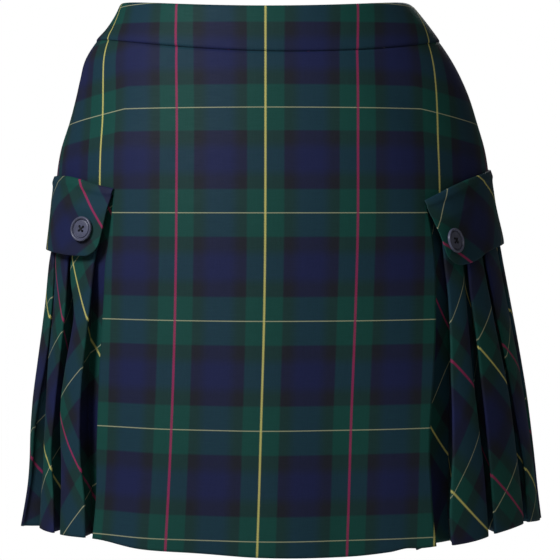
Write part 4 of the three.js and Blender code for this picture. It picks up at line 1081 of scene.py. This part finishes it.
def yarn_colour(n, place, pitch, bar):
    """Colour of one set of yarns: a green bar on each line, then dark that turns slowly to blue.

    Also returns the distance from the nearest line and the number of lines passed.
    """
    turns = n.math("DIVIDE", place, pitch * MM)
    away = n.math("MULTIPLY", n.math("PINGPONG", turns, 0.5), pitch)
    to_dark = n.step(away, bar["green"] - BAR_EDGE, bar["green"] + BAR_EDGE)
    to_blue = n.step(away, bar["blue_from"], bar["blue_full"])
    return n.blend(to_blue, n.blend(to_dark, GREEN_YARN, DARK_YARN), BLUE_YARN), away, turns


def thin_line(n, away, half, soft_edge):
    """One inside a line of the given half width, nothing outside it."""
    return n.math("SUBTRACT", 1.0, n.step(n.math("SUBTRACT", away, half), -soft_edge, soft_edge))


def tartan_group():
    """Sett from the cloth coordinates: warp and weft have their own colours, and the twill shows both."""
    group = new_group(
        "tartan", [("Cloth", "Vector", None), ("Twill depth", "Float", 0.34)],
        [("Color", "Color"), ("Height", "Float"), ("Roughness", "Float")])
    n = Nodes(group)
    given = n.node("NodeGroupInput")
    split = n.node("SeparateXYZ", {0: given.outputs["Cloth"]})
    u, v = split.outputs[0], split.outputs[1]
    warp_slub, weft_slub = (
        n.noise(n.node("Mapping", {"Vector": given.outputs["Cloth"], "Scale": scale}).outputs[0], 1.0)
        for scale in ((SLUB["across"], SLUB["along"], 1), (SLUB["along"], SLUB["across"], 1)))
    warp, warp_away, warp_turns = yarn_colour(n, u, WARP_PITCH, WARP_BAR)
    weft, weft_away, _ = yarn_colour(n, v, WEFT_PITCH, WEFT_BAR)
    # Every other warp line is red, and the rest are yellow.
    is_red = n.step(n.math("PINGPONG", warp_turns, 1.0), 0.45, 0.55)
    diagonal = n.math("ADD", n.math("DIVIDE", u, TWILL_PITCH * MM), n.math("DIVIDE", v, TWILL_PITCH * MM))
    ridge = n.math("MULTIPLY", n.math("PINGPONG", diagonal, 0.5), 2.0)
    warp_ridge = n.math("SUBTRACT", WARP_LINE["ridge"], n.math("MULTIPLY", is_red, WARP_LINE["red_ridge"]))
    warp_half = n.math("ADD", WARP_LINE["half"], n.math("MULTIPLY", ridge, warp_ridge))
    warp_half = n.math("ADD", warp_half, n.math("MULTIPLY", is_red, WARP_LINE["red_half"]))
    warp_line = thin_line(n, warp_away, warp_half, WARP_LINE["soft"])
    weft_half = n.math("ADD", WEFT_LINE["half"], n.math("MULTIPLY", ridge, WEFT_LINE["ridge"]))
    weft_line = thin_line(n, weft_away, weft_half, WEFT_LINE["soft"])
    warp = n.blend(n.math("MULTIPLY", warp_slub, SLUB["dark"]), warp, (0, 0, 0, 1))
    weft = n.blend(n.math("MULTIPLY", weft_slub, SLUB["dark"]), weft, (0, 0, 0, 1))
    over = n.math("MULTIPLY", n.math("SUBTRACT", ridge, 0.5), given.outputs["Twill depth"])
    colour = n.blend(n.math("ADD", 0.5, over), weft, warp)
    colour = n.blend(n.math("MULTIPLY", weft_line, WEFT_LINE["cover"]), colour, PALE_YARN)
    cover = n.math("ADD", WARP_LINE["cover"], n.math("MULTIPLY", ridge, WARP_LINE["ridge_cover"]))
    colour = n.blend(n.math("MULTIPLY", warp_line, cover), colour, n.blend(is_red, YELLOW_YARN, RED_YARN))
    height = n.math("ADD", n.math("MULTIPLY", ridge, 0.7), n.math("MULTIPLY", warp_slub, 0.3))
    rough = n.math("ADD", 0.5, n.math("MULTIPLY", weft_slub, 0.2))
    n.node("NodeGroupOutput", {"Color": colour, "Height": height, "Roughness": rough})
    return group


def new_material(name, **fixed):
    """Material, the short hand for its nodes and its Principled surface.

    The fixed values are the same all over the surface and are set on the shader's own sockets.
    """
    material = bpy.data.materials.new(name)
    material.use_nodes = True
    surface = material.node_tree.nodes["Principled BSDF"]
    for label, value in fixed.items():
        surface.inputs[label.replace("_", " ")].default_value = value
    return material, Nodes(material.node_tree), surface


def tartan_material(group):
    """Fine wool twill: the sett and its ridges from the piece's cloth coordinates, with almost no sheen."""
    material, n, surface = new_material(
        "tartan_twill", Specular_IOR_Level=0.12, Sheen_Weight=0.03, Sheen_Roughness=0.4,
        Sheen_Tint=(0.75, 0.8, 1.0, 1.0))
    place = n.node("UVMap", uv_map="cloth")
    made = n.node("Group")
    made.node_tree = group
    n.feed(made.inputs["Cloth"], place.outputs[0])
    n.feed(surface.inputs["Base Color"], made.outputs["Color"])
    n.feed(surface.inputs["Roughness"], made.outputs["Roughness"])
    n.raise_surface(surface, made.outputs["Height"], 0.35, 0.00025)
    return material


# Height of a knit loop over its width, and how much paler the painted highlight on the loops' tops is.
LOOP_HEIGHT = 1.4
LOOP_TOP_HIGHLIGHT = 1.5


def knit_material(name, colour, pitch):
    """Plain fine cloth: small rounded loops in rows, from the piece's own cloth coordinates, with a painted
    highlight on the loops' tops.
    """
    material, n, surface = new_material(name, Sheen_Weight=0.2)
    place = n.node("UVMap", uv_map="cloth")
    split = n.node("SeparateXYZ", {0: place.outputs[0]})
    across = n.math("PINGPONG", n.math("DIVIDE", split.outputs[0], pitch * MM), 0.5)
    down = n.math("PINGPONG", n.math("DIVIDE", split.outputs[1], pitch * LOOP_HEIGHT * MM), 0.5)
    loops = n.math("MULTIPLY", n.math("MULTIPLY", across, down), 4.0)
    mottle = n.noise(place.outputs[0], 90.0, 3.0)
    # The loops' tops are painted paler as a painted highlight, whose strength a random mottle varies.
    painted_loop_highlight = tuple(min(1, c * LOOP_TOP_HIGHLIGHT) for c in colour[:3]) + (1.0,)
    n.feed(surface.inputs["Base Color"], n.blend(n.math("MULTIPLY", loops, mottle), colour, painted_loop_highlight))
    n.feed(surface.inputs["Roughness"], n.math("ADD", 0.7, n.math("MULTIPLY", mottle, 0.2)))
    n.raise_surface(surface, loops, 0.4, 0.0002)
    return material


def horn_material():
    """Moulded grey-violet button: cloudy colour, fine lathe marks and a soft polish."""
    material, n, surface = new_material("button_horn", Coat_Weight=0.25, Coat_Roughness=0.2)
    place = n.node("TexCoord").outputs["Object"]
    cloud = n.noise(place, 160.0, 4.0, 0.6)
    fine = n.noise(place, 1800.0, 2.0)
    n.feed(surface.inputs["Base Color"], n.blend(cloud, shade("40414f"), shade("6c6e84")))
    n.feed(surface.inputs["Roughness"], n.math("ADD", 0.28, n.math("MULTIPLY", fine, 0.16)))
    n.raise_surface(surface, fine, 0.08, 0.0001)
    return material


def thread_material():
    """Twisted sewing thread."""
    material, n, surface = new_material("sewing_thread", Roughness=0.7)
    twist = n.noise(n.node("TexCoord").outputs["Object"], 2600.0, 1.0)
    n.feed(surface.inputs["Base Color"], n.blend(twist, shade("050509"), shade("10111c")))
    n.raise_surface(surface, twist, 0.5, 0.0001)
    return material


def metal_material():
    """Painted zip metal, worn a little to a brighter tone."""
    material, n, surface = new_material("zip_metal", Metallic=0.85)
    wear = n.noise(n.node("TexCoord").outputs["Object"], 420.0, 5.0, 0.7)
    n.feed(surface.inputs["Base Color"], n.blend(n.step(wear, 0.55, 0.75), shade("1c2433"), shade("5d6677")))
    n.feed(surface.inputs["Roughness"], n.math("ADD", 0.3, n.math("MULTIPLY", wear, 0.25)))
    return material


# Stage, light and camera.
FLOOR = {"z": -750, "radius": 1500, "thick": 20, "sides": 96}


def stage_floor():
    """Round pale floor below the hanging skort."""
    material, n, surface = new_material("floor_paper", Roughness=0.9)
    grain = n.noise(n.node("TexCoord").outputs["Object"], 14.0, 3.0)
    n.feed(surface.inputs["Base Color"], n.blend(grain, (0.8, 0.8, 0.8, 1), (0.84, 0.84, 0.84, 1)))
    radius, bottom = FLOOR["radius"], -FLOOR["thick"]
    floor = lathe("floor", ((0, 0), (radius, 0), (radius, bottom), (0, bottom)), FLOOR["sides"], material)
    move_mesh(floor, np.eye(3), np.array([0.0, 0.0, FLOOR["z"]]))
    floor.data.polygons.foreach_set("use_smooth", np.zeros(len(floor.data.polygons), bool))


# Each lamp's place and aim in metres, its size, its power in watts and its colour.
LAMPS = {
    "key": ((-0.85, -0.95, 0.62), (0.0, 0.0, -0.08), 0.5, 12.5, (0.97, 1.0, 1.12)),
    "fill": ((0.15, -1.5, 0.75), (0.0, 0.0, -0.12), 0.8, 2.3, (1.0, 1.0, 0.95)),
    "back_key": ((0.25, 1.45, 0.6), (0.0, 0.0, -0.15), 0.7, 9.5, (1.0, 1.0, 1.0)),
}
# Strength of the world as the camera sees it, and the part of it that lights the cloth.
WORLD_SEEN = 0.93
WORLD_LIGHT = 0.07


def area_light(name, place, aim, size, power, colour):
    """Round soft lamp that faces its aim and isn't seen itself."""
    light = bpy.data.lights.new(name, "AREA")
    light.shape = "DISK"
    light.size = size
    light.energy = power
    light.color = colour
    lamp = bpy.data.objects.new(name, light)
    bpy.context.scene.collection.objects.link(lamp)
    lamp.location = place
    lamp.rotation_euler = (Vector(aim) - Vector(place)).to_track_quat("-Z", "Y").to_euler()
    lamp.visible_camera = False


def studio():
    """White surroundings to the eye, a dim even light from them, and three soft lamps.

    The key stands at the upper left, the fill in front and the third behind.
    """
    world = bpy.data.worlds.new("studio")
    bpy.context.scene.world = world
    world.use_nodes = True
    n = Nodes(world.node_tree)
    path = n.node("LightPath")
    shown = world.node_tree.nodes["Background"]
    shown.inputs["Color"].default_value = (1, 1, 1, 1)
    seen = n.math("MULTIPLY", path.outputs["Is Camera Ray"], WORLD_SEEN)
    n.feed(shown.inputs["Strength"], n.math("ADD", seen, WORLD_LIGHT))
    for name, facts in LAMPS.items():
        area_light(name, *facts)


CAMERA_PLACE = (0.011, -1.740, -0.1666)
CAMERA_LENS = 131.6
SENSOR_WIDTH = 36
FRAME_PIXELS = 560
HORIZON_ABOVE_MIDDLE = 80


def photo_camera():
    """Level camera straight in front, its picture shifted down as the photograph's is."""
    camera = bpy.data.cameras.new("camera")
    camera.sensor_width = SENSOR_WIDTH
    camera.lens = CAMERA_LENS
    camera.shift_y = -HORIZON_ABOVE_MIDDLE / FRAME_PIXELS
    holder = bpy.data.objects.new("camera", camera)
    bpy.context.scene.collection.objects.link(holder)
    holder.location = CAMERA_PLACE
    holder.rotation_euler = (math.radians(QUARTER_TURN), 0, 0)
    bpy.context.scene.camera = holder


def dress(piece, node):
    """The piece stands for its CAD node, which it hides, and rides on the skort."""
    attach(piece, ROOT)
    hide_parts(node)


def main():
    """Materials, then every piece from the waistband in, then the stage, the light and the camera."""
    tartan = tartan_material(tartan_group())
    navy_knit = knit_material("shorts_cloth", shade("14162a"), 0.9)
    tape_cloth = knit_material("zip_tape_cloth", shade("16251f"), 0.7)
    horn = horn_material()
    thread = thread_material()
    metal = metal_material()

    band_front = band_piece("waistband_front_cloth", -SIDE_SEAM, SIDE_SEAM, BAND_COLUMNS, tartan)
    dress(band_front, "waistband_front")
    for word, start, end in (("left", -HALF_TURN, -SIDE_SEAM), ("right", SIDE_SEAM, HALF_TURN)):
        band = band_piece(f"waistband_back_{word}_cloth", start, end, BAND_BACK_COLUMNS, tartan)
        dress(band, f"waistband_back_{word}")
    front = front_piece("front_cloth", tartan)
    dress(front, "front")
    for word, side in (("left", -1), ("right", 1)):
        back = back_piece(f"back_{word}_cloth", side, tartan)
        dress(back, f"back_{word}")
        inset = inset_piece(f"{word}_pleats_cloth", side, tartan)
        dress(inset, f"{word}_pleats")
        flap = flap_piece(f"{word}_flap_cloth", side, tartan)
        dress(flap, f"{word}_flap")
        button, strands = button_piece(word, side, horn, thread)
        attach(button, ROOT)
        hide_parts(f"{word}_button")
        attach(strands, ROOT)
        shorts = shorts_piece(f"shorts_{word}_cloth", side, navy_knit)
        dress(shorts, f"shorts_{word}")
    tape = tape_piece("zip_tape_cloth", tape_cloth)
    dress(tape, "zip_tape")
    for node in ("zip_slider", "zip_pull"):
        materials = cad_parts[node].data.materials
        materials.clear()
        materials.append(metal)

    stage_floor()
    studio()
    photo_camera()
    bpy.context.scene.view_settings.view_transform = "Standard"


main()
